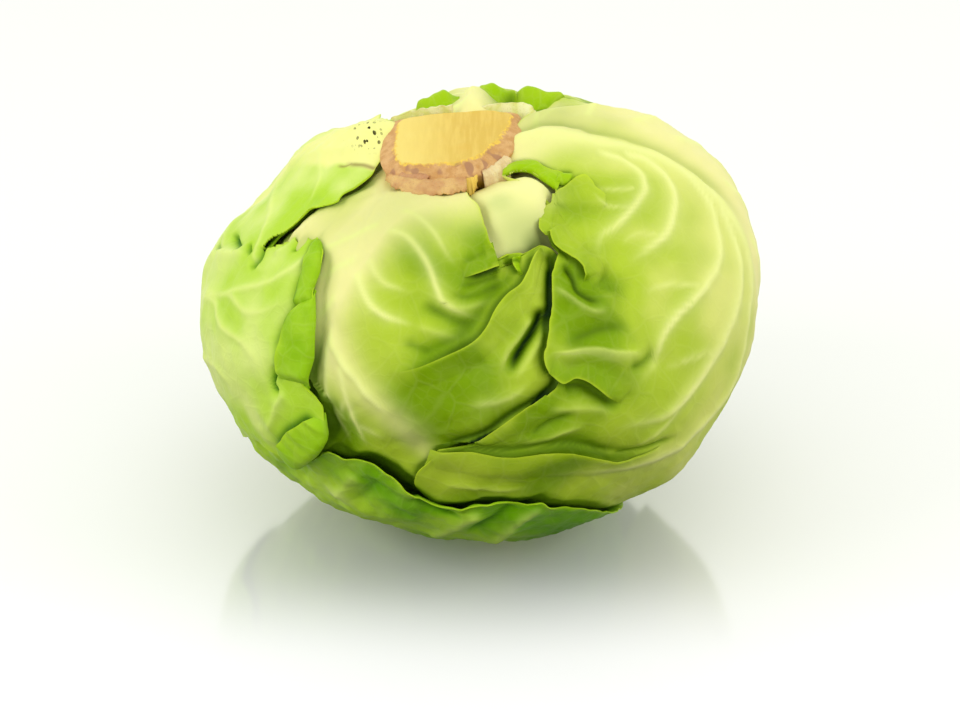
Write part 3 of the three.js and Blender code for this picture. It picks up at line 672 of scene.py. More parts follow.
leafLeft = {
    "name": "leaf_left", "slot": "green_leaf", "centre": (64, 178), "rows": 205, "seed": 47,
    "margin": [
        (20, 172), (21.5, -174), (25.3, -163.8), (28.2, -156.9), (31.9, -155.7), (35.9, -156.9),
        (37.6, -154.3), (39.2, -152.6), (43, -149.5), (47.4, -144.6), (48.6, -140), (49.5, -136.9),
        (51.9, -135.1), (54, -134.2), (57.3, -132.6), (60.2, -130), (63.5, -128.5), (69.1, -126.8),
        (75.6, -126.7), (77, -124.4), (78.6, -122.2), (81.7, -121.5), (84.3, -121), (87, -122),
        (90.7, -125.4), (94.3, -129), (96, -133), (95.2, -138), (96.5, -146), (104, -160),
        (105, -178), (109, 164), (103, 148), (94, 143), (86, 132), (76, 131), (65, 125), (54, 127),
        (44, 124), (37, 131), (26, 140), (19, 152),
    ],
    "midrib": [(19, 164), (26, 160), (34, 156), (50, 155), (70, 160), (90, 170), (100, 178)],
    "rib": [(26, 160), (34, 156), (50, 155), (70, 160), (90, 170)],
    "ribWidth": 8.0, "ribHeight": 3.0,
    "grow": {"count": 7, "from": 0.1, "to": 0.9, "spread": 60, "length": 56, "bend": 0.012,
             "branches": 4, "sides": (-1,), "rise": 0.6},
    "ribs": [
        (0.6, 1.2, 0.9, (0.1, 0.3), [(49.7, -138.5), (52.9, -142.2), (57, -145.4), (60, -148.3),
         (63.3, -152.8), (67, -158.5), (71.6, -165.4), (74, -172)]),
        (0.5, 1.1, 0.9, (0.2, 0.3), [(76, 178), (76, -175), (73.3, -167.8), (69.2, -160.2),
         (69.1, -152), (67.2, -147.1), (65.2, -144), (62.6, -141.3), (60.4, -139.4)]),
        (0.5, 1.1, 0.9, (0.2, 0.3), [(80, 178), (77.6, -175), (74.3, -167), (75.1, -162),
         (75.3, -156.7), (74.8, -152.6), (74.4, -147), (75.4, -142), (77.4, -137.2)]),
        (0.5, 1.1, 0.8, (0.2, 0.4), [(92, 178), (90, -172), (86.1, -161.7), (84.5, -154.9),
         (85.1, -151.4), (86.8, -147)]),
        (0.5, 1.1, 0.8, (0.1, 0.3), [(56, 160), (54, 172), (54, -178), (56, -170), (58, -166),
         (60.5, -162), (60.6, -156), (58.4, -152)]),
        (0.4, 1.0, 0.7, (0.1, 0.4), [(40, 160), (39, 172), (40, -176), (43, -168), (46, -164)]),
        (0.4, 1.0, 0.7, (0.1, 0.4), [(68, 162), (68, 172), (70, -178), (71, -172)]),
    ],
    "creases": [
        (0.9, 2.5, 2.5, 0, (0.2, 0.3), [(22, -170), (28, 178), (38, 168), (48, 162)]),
        (1.4, 1.3, 2.2, 0.3, (0.2, 0.3), [(75, 173), (71.5, 177), (67.9, -177.1), (64.6, -172),
         (62.3, -167.4), (61.5, -163.1)]),
        (-2.2, 1.0, 1.0, 0, (0.3, 0.1), [(66, 176), (65, -178), (63.9, -173.6), (63.6, -171.4)]),
        (-1.4, 0.9, 0.9, 0, (0.3, 0.2), [(71.8, 173), (70.6, 177), (69, -179.6)]),
        (-1.6, 0.9, 0.9, 0, (0.2, 0.2), [(60.6, -170), (61.4, -167.2), (61.2, -164.8)]),
        (-2.0, 0.8, 0.9, 0, (0.1, 0.3), [(48.2, -151.6), (49.9, -149.9), (51.9, -149.8),
         (53.8, -150.8)]),
        (1.0, 1.6, 1.2, 0, (0.2, 0.3), [(49, -154), (51.6, -153.6), (54.2, -154.4), (57, -156.4)]),
        (-1.5, 1.6, 1.4, 0, (0.2, 0.3), [(52.4, -141), (57, -139), (62, -136.6), (68, -137.4),
         (74, -137)]),
        (-1.5, 1.2, 1.6, 0, (0.1, 0.2), [(57.4, -162.4), (60, -160), (63, -160.6)]),
        (-2.2, 1.0, 1.0, 0, (0.1, 0.2), [(75.1, -135.8), (77.9, -136.3), (79.5, -135.3),
         (78.6, -133.6)]),
        (1.2, 1.3, 1.3, 0, (0.1, 0.3), [(78.6, -131.4), (82, -133.6), (86, -135), (90, -137.5)]),
    ],
    "flaps": [
        # the right margin rolled over in two strips
        {"fold": [(48, -147.6), (47.6, -145), (48.4, -140.8), (50.4, -137), (54.2, -134.2),
                  (58.4, -132.6), (61, -130.4)],
         "free": [(48.4, -147.8), (48.9, -144.9), (51.6, -141.8), (54.8, -139.4), (58.2, -138),
                  (61.6, -136.2), (63, -134.6)],
         "section": [(0.1, -1.4), (-0.08, -0.6), (-0.1, 0.6), (0.0, 1.4), (0.25, 1.7), (0.65, 1.5),
         (1.0, 1.0)], "ends": (0.2, 0.15), "wave": (0.1, 2)},
        {"fold": [(57.2, -132.8), (60.2, -130), (63.5, -128.4), (69.1, -126.7), (73, -126.5),
                  (76.4, -126.4)],
         "free": [(57.6, -132.4), (60.6, -134), (64.7, -136.3), (69.3, -135.9), (74, -135.1),
                  (78, -133.2)],
         "section": [(0.08, -1.4), (-0.08, -0.6), (-0.1, 0.8), (0.0, 1.6), (0.25, 1.9),
         (0.65, 1.7), (1.0, 1.2)], "ends": (0.2, 0.15), "wave": (0.1, 2)},
        # and the corner folded up
        {"fold": [(80.4, -121.9), (84.3, -120.8), (86.4, -121.6), (89, -123.5), (90.9, -125.3),
                  (92.7, -127.1), (94.6, -128.9), (96.4, -131.6)],
         "free": [(80.9, -122.6), (82.2, -125.3), (83.9, -127.2), (86.6, -130.4), (89.1, -132.2),
                  (91.2, -133.7), (93.3, -133.8), (96.2, -132.2)],
         "section": [(0.08, -1.4), (-0.08, -0.4), (-0.08, 1.0), (0.1, 2.0), (0.45, 2.3),
         (0.8, 2.0), (1.0, 1.7)], "ends": (0.15, 0.15), "wave": (0.3, 3)},
    ],
    "cracks": [
        (0.7, [(25.4, -162.8), (27.7, -169.2), (30.2, -174.1), (32.4, -179.4)]),
        (0.4, [(30.2, -175.6), (32.4, -176), (34.6, -179.1)]),
    ],
    "notches": [
        [(58.6, -162), (55, -162.8), (51.8, -161.1), (48.2, -160.7), (44.7, -161), (42, -158),
         (37, -152), (42, -144), (48.4, -146), (48.8, -149.4), (51, -151.2), (50.4, -153.6),
         (52.4, -155.4), (54.6, -157.4), (56.6, -159.4)],
    ],
    "paleStem": (34, 58), "greenEdge": (9, 0.35), "green": 0.12, "swell": (0.35, 18),
    "marginLift": 0.5, "shade": 0.13,
    # the cream ends along this line
    "creamSide": [(64, 164), (59.6, 159.5), (50.7, 166), (43, 170.5), (38, 177), (33.4, -177.3),
                  (29, -170), (26.1, -163.1), (24, -156)],
    "tones": [((66, -142), 9, 0.15), ((84, -128), 8, 0.25), ((76, -168), 10, 0.1),
              ((46, -170), 8, 0.1), ((80, -134), 6, 0.2)],
    "bumps": [((55, 140), 7, 2.4), ((60, 165), 8, -2.8), ((65, 158), 7, -3.4),
              ((96, -160), 6, -1.0)],
    "specks": [((27, 161), 3.6, 1.0), ((25, 171), 3.4, 0.9)],
    "slitShade": [((72, -126), 7, 0.4), ((84, -121), 8, 0.6), ((32, -156), 5, 0.25)],
}


def linesOnLeaf(leaf, plans):
    # the same plans, with each path a smooth line on the leaf map
    return [(*values, smoothLine(placesOnLeaf(leaf, path), 5 * len(path)))
            for *values, path in plans]


def evennessOf(leaf):
    # how fast the steps in the margin die out towards the middle of the leaf
    deepest = 1 - (leaf["reach"] / leaf["softReach"]).min()
    return min(5.0, 0.9 / max(deepest, 0.1) - 1)


wrapperLeaves = [{**leafDefaults, **leaf}
                 for leaf in (leafBack, leafFront, leafRight, leafUnder, leafLeft)]
for leaf in wrapperLeaves:
    leaf["axes"] = leafAxes(leaf["centre"])
    leaf["notchLines"] = [smoothLine(placesOnLeaf(leaf, notch), 90, closed=True)
                          for notch in leaf["notches"]]
    leaf["reach"] = marginReach(leaf)
    leaf["softReach"] = softened(leaf["reach"])
    leaf["evenness"] = evennessOf(leaf)
    leaf["ribPoints"] = unit(smoothLine(direction(leaf["rib"]), 30))
    leaf["midribLine"] = smoothLine(placesOnLeaf(leaf, leaf["midrib"]), 40)
    leaf["creaseLines"] = linesOnLeaf(leaf, leaf["creases"])
    leaf["ribLines"] = linesOnLeaf(leaf, leaf["ribs"])
    leaf["crackLines"] = linesOnLeaf(leaf, leaf["cracks"])
    if "creamSide" in leaf:
        leaf["creamLine"] = smoothLine(placesOnLeaf(leaf, leaf["creamSide"]), 40)


# Side veins, and the branches of each. s is how far along the midrib a vein starts.
veins = {
    "step": 1.5,        # degrees between the points of a vein
    "wander": 0.035,    # radians that it turns aside at each of them
    "stopBefore": 1.0,  # degrees inside the margin
    "turn": 6,          # degrees by which it may start off course
    "lessSize": 0.45, "lessSpread": 0.45, "lessLength": 0.5,  # lost by the midrib's tip
    "width": 1.5, "paleness": 0.85, "fewest": 6,
    "branch": {"from": 0.25, "over": 0.6, "turn": (35, 60), "length": (0.25, 0.45),
               "bend": 0.008, "rise": 0.4, "width": 1.0, "paleness": 0.45, "fewest": 5},
}

# How relief paints shade and highlight on a leaf, and how its margin and face are finished.
leafFace = {
    "broad": 2.8,  # a crease wider than this on both sides is a soft swell
    "softFall": 2.0, "sharpFall": 1.35,
    # painted shade in narrow valleys and a painted highlight on narrow crests
    "valleyShade": 0.34, "valleyWidth": 0.55, "narrow": 1.8,
    "crestHighlight": 0.30, "crestWidth": 0.45, "widestCrest": 3.4,
    "leanReach": 1.6,
    "ribEdge": 0.62, "ribGlow": 1.9,  # widths of a vein's pale core and of the glow round it
    "ribFades": 0.35,  # how far along the midrib its height starts to fall
    "ribBlend": 2500,  # how sharply the nearest point of the midrib is picked
    "liftReach": 2.5, "rimReach": 0.45,
    # the leaf above, and a flap over a face, cast painted shade on it over these reaches
    "contactShadeReach": 0.9,  # degrees over which the leaf above darkens the one below
    "flapShadeReach": 1.3,   # and a flap the face under it
}

# A turned-over margin or fold.
flapShape = {
    "along": 56, "across": 14, "quick": (12, 6), "blade": 0.5, "linePoints": 80,
    "lift": 0.05, "rollFrom": 0.86, "sink": 0.22, "innerPale": 0.2, "litRim": 0.04,
}


def growLine(leaf, rng, start, heading, length, bend):
    # a vein that wanders on until it has its length or nears the margin
    step = veins["step"]
    points, p = [start], start.copy()
    for _ in range(int(length / step)):
        heading += bend * step + rng.gauss(0, veins["wander"])
        p = p + step * np.array([math.cos(heading), math.sin(heading)])
        points.append(p.copy())
        if pastMargin(leaf, p[None])[0] > -veins["stopBefore"]:
            break
    return np.array(points)


def headingAt(line, at):
    step = line[at + 1] - line[at]
    return math.atan2(step[1], step[0])


def growRibs(leaf):
    # side veins off the midrib, with branches, each a rib with a path on the leaf map
    plan, branch = leaf["grow"], veins["branch"]
    rng = random.Random(leaf["seed"])
    midrib = leaf["midribLine"]
    ribs = []
    for i in range(plan["count"]):
        for sign in plan["sides"]:
            share = (i + 0.5 * (sign < 0)) / plan["count"]
            s = plan["from"] + (plan["to"] - plan["from"]) * share
            at = int(s * (len(midrib) - 2))
            spread = plan["spread"] * (1 - veins["lessSpread"] * s)
            heading = headingAt(midrib, at) + sign * math.radians(
                spread + rng.uniform(-veins["turn"], veins["turn"]))
            length = plan["length"] * (1 - veins["lessLength"] * s) * rng.uniform(0.85, 1.1)
            line = growLine(leaf, rng, midrib[at], heading, length,
                            -sign * plan["bend"] * rng.uniform(0.6, 1.3))
            if len(line) < veins["fewest"]:
                continue
            size = 1 - veins["lessSize"] * s
            ribs.append((plan["rise"] * size, veins["width"] * size, veins["paleness"],
                         (0, 0.4), line))
            for j in range(plan["branches"]):
                part = (j + rng.uniform(0, 0.6)) / plan["branches"]
                k = int(len(line) * (branch["from"] + branch["over"] * part))
                if k + 1 >= len(line):
                    continue
                turn = (1 if j % 2 else -1) * math.radians(rng.uniform(*branch["turn"]))
                twig = growLine(leaf, rng, line[k], headingAt(line, k) + turn,
                                length * rng.uniform(*branch["length"]),
                                -math.copysign(branch["bend"], turn))
                if len(twig) >= branch["fewest"]:
                    ribs.append((branch["rise"] * plan["rise"], branch["width"],
                                 branch["paleness"], (0, 0.6), twig))
    return ribs


for leaf in wrapperLeaves:
    leaf["ribLines"] += growRibs(leaf)
print("ribs laid out:", sum(len(leaf["ribLines"]) for leaf in wrapperLeaves))


def creaseRelief(leaf, xy):
    # height and sideways shift of the pleats at points of the leaf map, and the painted shade
    # of their deep valleys and painted highlight on their sharp crests
    height, valleyShade, crestHighlight = np.zeros((3, len(xy)))
    shift = np.zeros((len(xy), 2))
    for rise, left, right, lean, ends, line in leaf["creaseLines"]:
        near = nearLine(xy, line, 2.5 * max(left, right))
        if len(near) == 0:
            continue
        along, side, normal = measureLine(xy[near], line)
        width = np.where(side > 0, left, right)
        held = fadeEnds(along, ends)
        broad = min(left, right) > leafFace["broad"]
        fall = leafFace["softFall" if broad else "sharpFall"]
        height[near] += rise * bell(side, width, fall) * held
        # a narrow valley gets painted shade, a narrow crest a painted highlight
        if rise < 0:
            narrow = min(1, leafFace["narrow"] / min(left, right)) ** 2
            valleyShade[near] -= (leafFace["valleyShade"] * rise * narrow * held
                             * bell(side, leafFace["valleyWidth"] * width))
        elif max(left, right) < leafFace["widestCrest"]:
            crestHighlight[near] += (leafFace["crestHighlight"] * rise * held
                            * bell(side, leafFace["crestWidth"] * width))
        if lean:
            turned = bell(side, leafFace["leanReach"] * abs(lean)) * held
            shift[near] += lean * turned[:, None] * normal
    return height, shift, np.clip(valleyShade, 0, 1), np.clip(crestHighlight, 0, 1)


def ribRelief(leaf, xy):
    height, pale = np.zeros((2, len(xy)))
    for rise, width, paleness, ends, line in leaf["ribLines"]:
        near = nearLine(xy, line, 6 * width)
        if len(near) == 0:
            continue
        along, side, _ = measureLine(xy[near], line)
        narrow = width * (1.15 - 0.5 * along)
        fade = fadeEnds(along, ends)
        height[near] = np.maximum(height[near], rise * bell(side, 1.1 * narrow) * fade)
        spread = (0.75 * bell(side, leafFace["ribEdge"] * narrow)
                  + 0.30 * bell(side, leafFace["ribGlow"] * narrow))
        pale[near] = np.maximum(pale[near], paleness * spread * fade)
    return height, pale


def ribHeightAt(leaf, d):
    closeness = d @ leaf["ribPoints"].T
    nearest = closeness.max(1)
    angle = np.degrees(np.arccos(np.clip(nearest, -1, 1)))
    near = np.exp(leafFace["ribBlend"] * (closeness - nearest[:, None]))
    along = near @ np.linspace(0, 1, len(leaf["ribPoints"])) / near.sum(1)
    height = leaf["ribHeight"] * (1 - ease(along, leafFace["ribFades"], 1))
    return height * bell(angle, leafStack["ribSpread"])


def heartRadius(d):
    layer = leafStack["thickness"] + leafStack["gap"]
    return headRadius(d) - layer * sum(coverOf(leaf, d) for leaf in wrapperLeaves)


def undersideRadius(index, d):
    layer = leafStack["thickness"] + leafStack["gap"]
    r = heartRadius(d) + leafStack["gap"]
    for below in wrapperLeaves[:index]:
        r = r + coverOf(below, d) * (layer + ribHeightAt(below, d))
    return r


def tuckedUnder(index, d):
    # how far a surface sinks where the leaves over it hide it, how much of it shows, and how
    # much painted shade it gets beside the edge of one of them
    tuck, close = np.zeros((2, len(d)))
    shown = np.ones(len(d))
    for above in wrapperLeaves[index + 1:]:
        past = pastMargin(above, toLeaf(above, d))
        tuck += leafStack["tuck"] * ease(-past, 1.0, 7)
        shown *= ease(past, -2.5, 0.3)
        # painted shade beside the margin of the leaf above, darker at the listed places
        depth = above["shade"] + spots(d, above["slitShade"])
        close = np.maximum(close, depth * bell(np.maximum(past - 0.2, 0),
                                               leafFace["contactShadeReach"], 1.5))
    return tuck, shown, np.clip(close, 0, 1)


def crackMask(leaf, xy):
    dry = np.zeros(len(xy))
    for width, line in leaf["crackLines"]:
        near = nearLine(xy, line, 5 * width)
        along, side, _ = measureLine(xy[near], line)
        dry[near] = np.maximum(dry[near], bell(side, width) * fadeEnds(along, (0.05, 0.4)))
    return dry


def paleMask(leaf, xy, d):
    # the broad pale midrib, the cream towards the stem and the other cream places
    along, side, _ = measureLine(xy, leaf["midribLine"])
    broad = bell(side, leaf["ribWidth"] * (1.15 - 0.85 * along)) * (1 - 0.6 * along)
    fromStem = np.degrees(np.arccos(np.clip(d[:, 2], -1, 1)))
    nearStem = 1 - ease(fromStem + 3 * waves(d, 3, 30), *leaf["paleStem"])
    if "creamLine" in leaf:
        _, side, _ = measureLine(xy, leaf["creamLine"])
        nearStem = nearStem * ease(side + 0.8 * waves(d, 5, 9), -0.8, 1.6)
    return np.clip(1 - (1 - broad) * (1 - nearStem) + spots(d, leaf["creams"]), 0, 1)


def leafSurface(index, xy, pleated=1.0):
    # radius of a leaf's outer face, its shifted map points and the masks its colour follows
    leaf = wrapperLeaves[index]
    seed = leaf["seed"]
    d = fromLeaf(leaf, xy)
    tuck, shown, close = tuckedUnder(index, d)
    ribHeight, ribPale = ribRelief(leaf, xy)
    pleats, shift, valleyShade, crestHighlight = creaseRelief(leaf, xy)
    inside = -pastMargin(leaf, xy)
    fromRim = np.maximum(inside, 0)
    size, wavelength = leaf["swell"]
    lifted = leaf["marginLift"] * (0.6 + waves(d, seed + 7, 11))
    lifted = lifted * bell(fromRim, leafFace["liftReach"], 1)
    crinkle = leaf["crinkle"] * (0.13 * waves(d, seed + 21, 6) + 0.06 * waves(d, seed + 22, 3))
    relief = pleats * pleated + ribHeight + crinkle + size * waves(d, seed, wavelength) + lifted
    radius = (undersideRadius(index, d) + leafStack["thickness"] + ribHeightAt(leaf, d)
              + relief * shown + spots(d, leaf["bumps"]) - tuck)
    reach, most = leaf["greenEdge"]
    # greener down in the pleats and paler on their ridges: painted shade and highlight
    green = (leaf["green"] + most * bell(fromRim, reach, 1.5) + spots(d, leaf["tones"])
             + 0.10 * waves(d, seed + 1, 13) - 0.10 * np.clip(pleats, -3, 3) * shown)
    # painted shade in the valleys, beside the edges of the leaves above and at the listed shadows
    shade = np.maximum(valleyShade * shown, close) + spots(d, leaf["shadows"])
    # the masks include a painted highlight along the margin and on sharp crests
    masks = {"pale": paleMask(leaf, xy, d), "green": np.clip(green, 0, 1),
             "vein": np.clip(ribPale, 0, 1), "litRim": bell(fromRim, leafFace["rimReach"], 1),
             "inner": np.zeros(len(xy)), "dry": crackMask(leaf, xy),
             "specks": spots(d, leaf["specks"]), "crestHighlight": crestHighlight * shown,
             "shade": np.clip(shade, 0, 1)}
    return radius, xy + shift * shown[:, None], masks


def deselectAll():
    bpy.ops.object.select_all(action="DESELECT")


def selectOnly(*pieces):
    deselectAll()
    for piece in pieces:
        piece.select_set(True)
    bpy.context.view_layer.objects.active = pieces[0]


def rename(piece, name):
    piece.name = piece.data.name = name


def readPoints(piece):
    flat = np.empty(len(piece.data.vertices) * 3)
    piece.data.vertices.foreach_get("co", flat)
    return flat.reshape(-1, 3)


def newGrid(name, columns, rows):
    # a grid of the given number of faces, with its points from -1 to 1
    deselectAll()
    bpy.ops.mesh.primitive_grid_add(x_subdivisions=columns, y_subdivisions=rows, size=2)
    piece = bpy.context.object
    rename(piece, name)
    return piece, readPoints(piece)


def shapeGrid(piece, points):
    piece.data.vertices.foreach_set("co", points.astype(np.float32).ravel())
    piece.data.update()
    centres, normals = np.empty((2, len(piece.data.polygons) * 3))
    piece.data.polygons.foreach_get("center", centres)
    piece.data.polygons.foreach_get("normal", normals)
    outwards = (centres.reshape(-1, 3) - centreOfHead / 1000) * normals.reshape(-1, 3)
    if outwards.sum() < 0:
        piece.data.flip_normals()
    piece.data.shade_smooth()


def addMask(piece, name, values):
    layer = piece.data.attributes.new(name, "FLOAT", "POINT")
    layer.data.foreach_set("value", np.asarray(values, np.float32))


def readMask(piece, name):
    values = np.empty(len(piece.data.vertices), np.float32)
    piece.data.attributes[name].data.foreach_get("value", values)
    return values


def addPlaces(piece, name, places):
    layer = piece.data.attributes.new(name, "FLOAT_VECTOR", "POINT")
    layer.data.foreach_set("vector", np.asarray(places, np.float32).ravel())


def giveThickness(piece, thickness, share=None):
    # share, from 0 to 1 at each point, thins the wall towards its edge
    selectOnly(piece)
    wall = piece.modifiers.new("wall", "SOLIDIFY")
    wall.thickness = thickness / 1000
    wall.offset = -1.0
    if share is not None:
        group = piece.vertex_groups.new(name="wall")
        levels = 16
        steps = np.round(np.clip(share, 0, 1) * levels).astype(int)
        for step in np.unique(steps):
            group.add(np.nonzero(steps == step)[0].tolist(), step / levels, "REPLACE")
        wall.vertex_group = group.name
        wall.thickness_vertex_group = 0.0
    bpy.ops.object.modifier_apply(modifier=wall.name)
    piece.vertex_groups.clear()
    piece.data.shade_smooth()


def joinPieces(pieces):
    if len(pieces) > 1:
        selectOnly(*pieces)
        bpy.ops.object.join()
    return pieces[0]


def squareToRound(x, y):
    ring = np.maximum(np.abs(x), np.abs(y))
    quarter = np.pi / 4
    wide = np.abs(x) >= np.abs(y)
    safeX = np.where(np.abs(x) < 1e-9, 1, x)
    safeY = np.where(np.abs(y) < 1e-9, 1, y)
    bearing = np.where(wide, quarter * y / safeX + np.where(x < 0, np.pi, 0),
                       np.pi / 2 - quarter * x / safeY + np.where(y < 0, np.pi, 0))
    return ring, bearing


def dressLeaf(piece, leaf, xy, masks):
    for name, values in masks.items():
        addMask(piece, name, values)
    addPlaces(piece, "leafPlace", np.column_stack([xy / 10, np.full(len(xy), leaf["seed"])]))


def pointsAt(line, u):
    # points at shares u of an evenly spaced line
    at = np.linspace(0, 1, len(line))
    return np.column_stack([np.interp(u, at, line[:, k]) for k in (0, 1)])


def makeFlap(index, number, flap):
    leaf = wrapperLeaves[index]
    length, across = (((flapShape["along"], flapShape["across"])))
    piece, grid = newGrid(leaf["name"] + "_flap", length, across)
    u, v = (grid[:, 0] + 1) / 2, (grid[:, 1] + 1) / 2
    fold, free = (evenLine(placesOnLeaf(leaf, flap[key]), flapShape["linePoints"])
                  for key in ("fold", "free"))
    if "rise" in flap:
        # it leaves the leaf's face gently, and rolls over a little at its free line
        start = flapShape["rollFrom"]
        over = v
        height = (flapShape["lift"] + flap["rise"] * v ** 2.0
                  - flap["roll"] * (np.maximum(v - start, 0) / (1 - start)) ** 2)
    else:
        section = smoothLine(flap["section"], 60)
        run = np.linspace(0, 1, len(section))
        over, height = np.interp(v, run, section[:, 0]), np.interp(v, run, section[:, 1])
    rng = random.Random(leaf["seed"] + number)
    size, count = flap["wave"]
    swing = 2 * np.pi * count * u
    rippled = size * np.sin(swing + rng.uniform(0, 6)) + 0.5 * size * np.sin(
        2.3 * swing + rng.uniform(0, 6))
    a, b = pointsAt(fold, u), pointsAt(free, u)
    xy = a + over[:, None] * (b - a)
    held = fadeEnds(u, flap["ends"])
    low = height[v < 0.001].mean()
    height = low + (height - low) * (0.05 + 0.95 * held)
    radius, _, masks = leafSurface(index, xy, 1 - ease(v, 0, 0.7) * held)
    shape = radius + height + rippled * v
    # a painted highlight along the free line
    masks["litRim"] = bell(1 - v, flapShape["litRim"], 1) * held
    if flap.get("outer"):
        # it grows gently out of the leaf's face
        grown = ease(v, 0, 0.4) * ease(u, 0, 0.08) * ease(1 - u, 0, 0.08)
        shape = (np.maximum(shape, leafSurface(index, xy)[0] + flapShape["lift"])
                 - flapShape["sink"] * (1 - grown))
        # the painted shade and crest highlight fade out over the flap
        for name in ("shade", "crestHighlight"):
            masks[name] = masks[name] * (1 - ease(v, 0.1, 0.5) * held)
    else:
        masks["inner"] = np.ones(len(xy))
        masks["pale"] = masks["pale"] * flapShape["innerPale"]
    shapeGrid(piece, toScene(fromLeaf(leaf, xy) * shape[:, None]))
    dressLeaf(piece, leaf, xy, masks)
    giveThickness(piece, flapShape["blade"], 0.45 + 0.55 * ease(1 - v, 0, 0.3))
    return piece


def cutNotches(piece, leaf, flat):
    # takes out the faces inside each notch of the margin
    for line in leaf["notchLines"]:
        selectOnly(piece)
        faces = np.empty(len(piece.data.polygons) * 4, int)
        piece.data.polygons.foreach_get("vertices", faces)
        gone = insideOf(flat, line)[faces.reshape(-1, 4)].sum(1) >= 3
        bpy.ops.object.mode_set(mode="EDIT")
        bpy.ops.mesh.select_mode(type="FACE")
        bpy.ops.object.mode_set(mode="OBJECT")
        piece.data.polygons.foreach_set("select", gone)
        bpy.ops.object.mode_set(mode="EDIT")
        bpy.ops.mesh.delete(type="FACE")
        bpy.ops.object.mode_set(mode="OBJECT")


def snapToNotches(leaf, xy, reach):
    # brings the nearest points of the grid onto the line of each notch
    for line in leaf["notchLines"]:
        line = np.vstack([line, line[:1]])
        near = nearLine(xy, line, 1.0)
        _, side, normal = measureLine(xy[near], line)
        close = np.abs(side) < reach
        xy[near[close]] -= side[close, None] * normal[close]
    return xy


def shadeUnderFlaps(leaf, xy):
    shade = np.zeros(len(xy))
    for flap in leaf["flaps"]:
        line = evenLine(placesOnLeaf(leaf, flap["free"]), 40)
        near = nearLine(xy, line, 4)
        share, side, _ = measureLine(xy[near], line)
        held = fadeEnds(share, [max(end, 0.1) for end in flap["ends"]])
        dark = flap.get("under", 0.6) * held * bell(side, leafFace["flapShadeReach"])
        shade[near] = np.maximum(shade[near], dark)
    return shade


def makeLeaf(index):
    leaf = wrapperLeaves[index]
    rows = leaf["rows"]
    piece, grid = newGrid(leaf["name"] + "_piece", rows, rows)
    # the faces are smaller towards the margin
    grid = grid + 0.28 * np.sin(np.pi * grid) / np.pi
    ring, bearing = squareToRound(grid[:, 0], grid[:, 1])
    # steps in the margin die out towards the middle of the leaf
    soft, reach = reachAt(leaf, bearing, "softReach"), reachAt(leaf, bearing)
    far = ring * (soft + (reach - soft) * ring ** leaf["evenness"])
    flat = far[:, None] * np.column_stack([np.cos(bearing), np.sin(bearing)])
    xy = snapToNotches(leaf, flat.copy(), 0.3)
    radius, moved, masks = leafSurface(index, xy)
    d = fromLeaf(leaf, moved)
    hidden = sum((pastMargin(above, toLeaf(above, d)) < 0).astype(float)
                 for above in wrapperLeaves[index + 1:])
    masks["shade"] = np.maximum(masks["shade"], shadeUnderFlaps(leaf, xy))
    shapeGrid(piece, toScene(d * radius[:, None], 0.9 * hidden))
    dressLeaf(piece, leaf, xy, masks)
    cutNotches(piece, leaf, flat)
    giveThickness(piece, leafStack["blade"], 0.4 + 0.6 * (1 - readMask(piece, "litRim")))
    flaps = [makeFlap(index, n, flap) for n, flap in enumerate(leaf["flaps"])]
    print("leaf made:", leaf["name"], len(flaps), "flaps")
    piece = joinPieces([piece] + flaps)
    selectOnly(piece)
    bpy.ops.object.shade_smooth_by_angle(angle=math.radians(65))
    return piece


def sRGB(r, g, b):
    return tuple(c / 255 / 12.92 if c <= 10 else ((c / 255 + 0.055) / 1.055) ** 2.4
                 for c in (r, g, b))


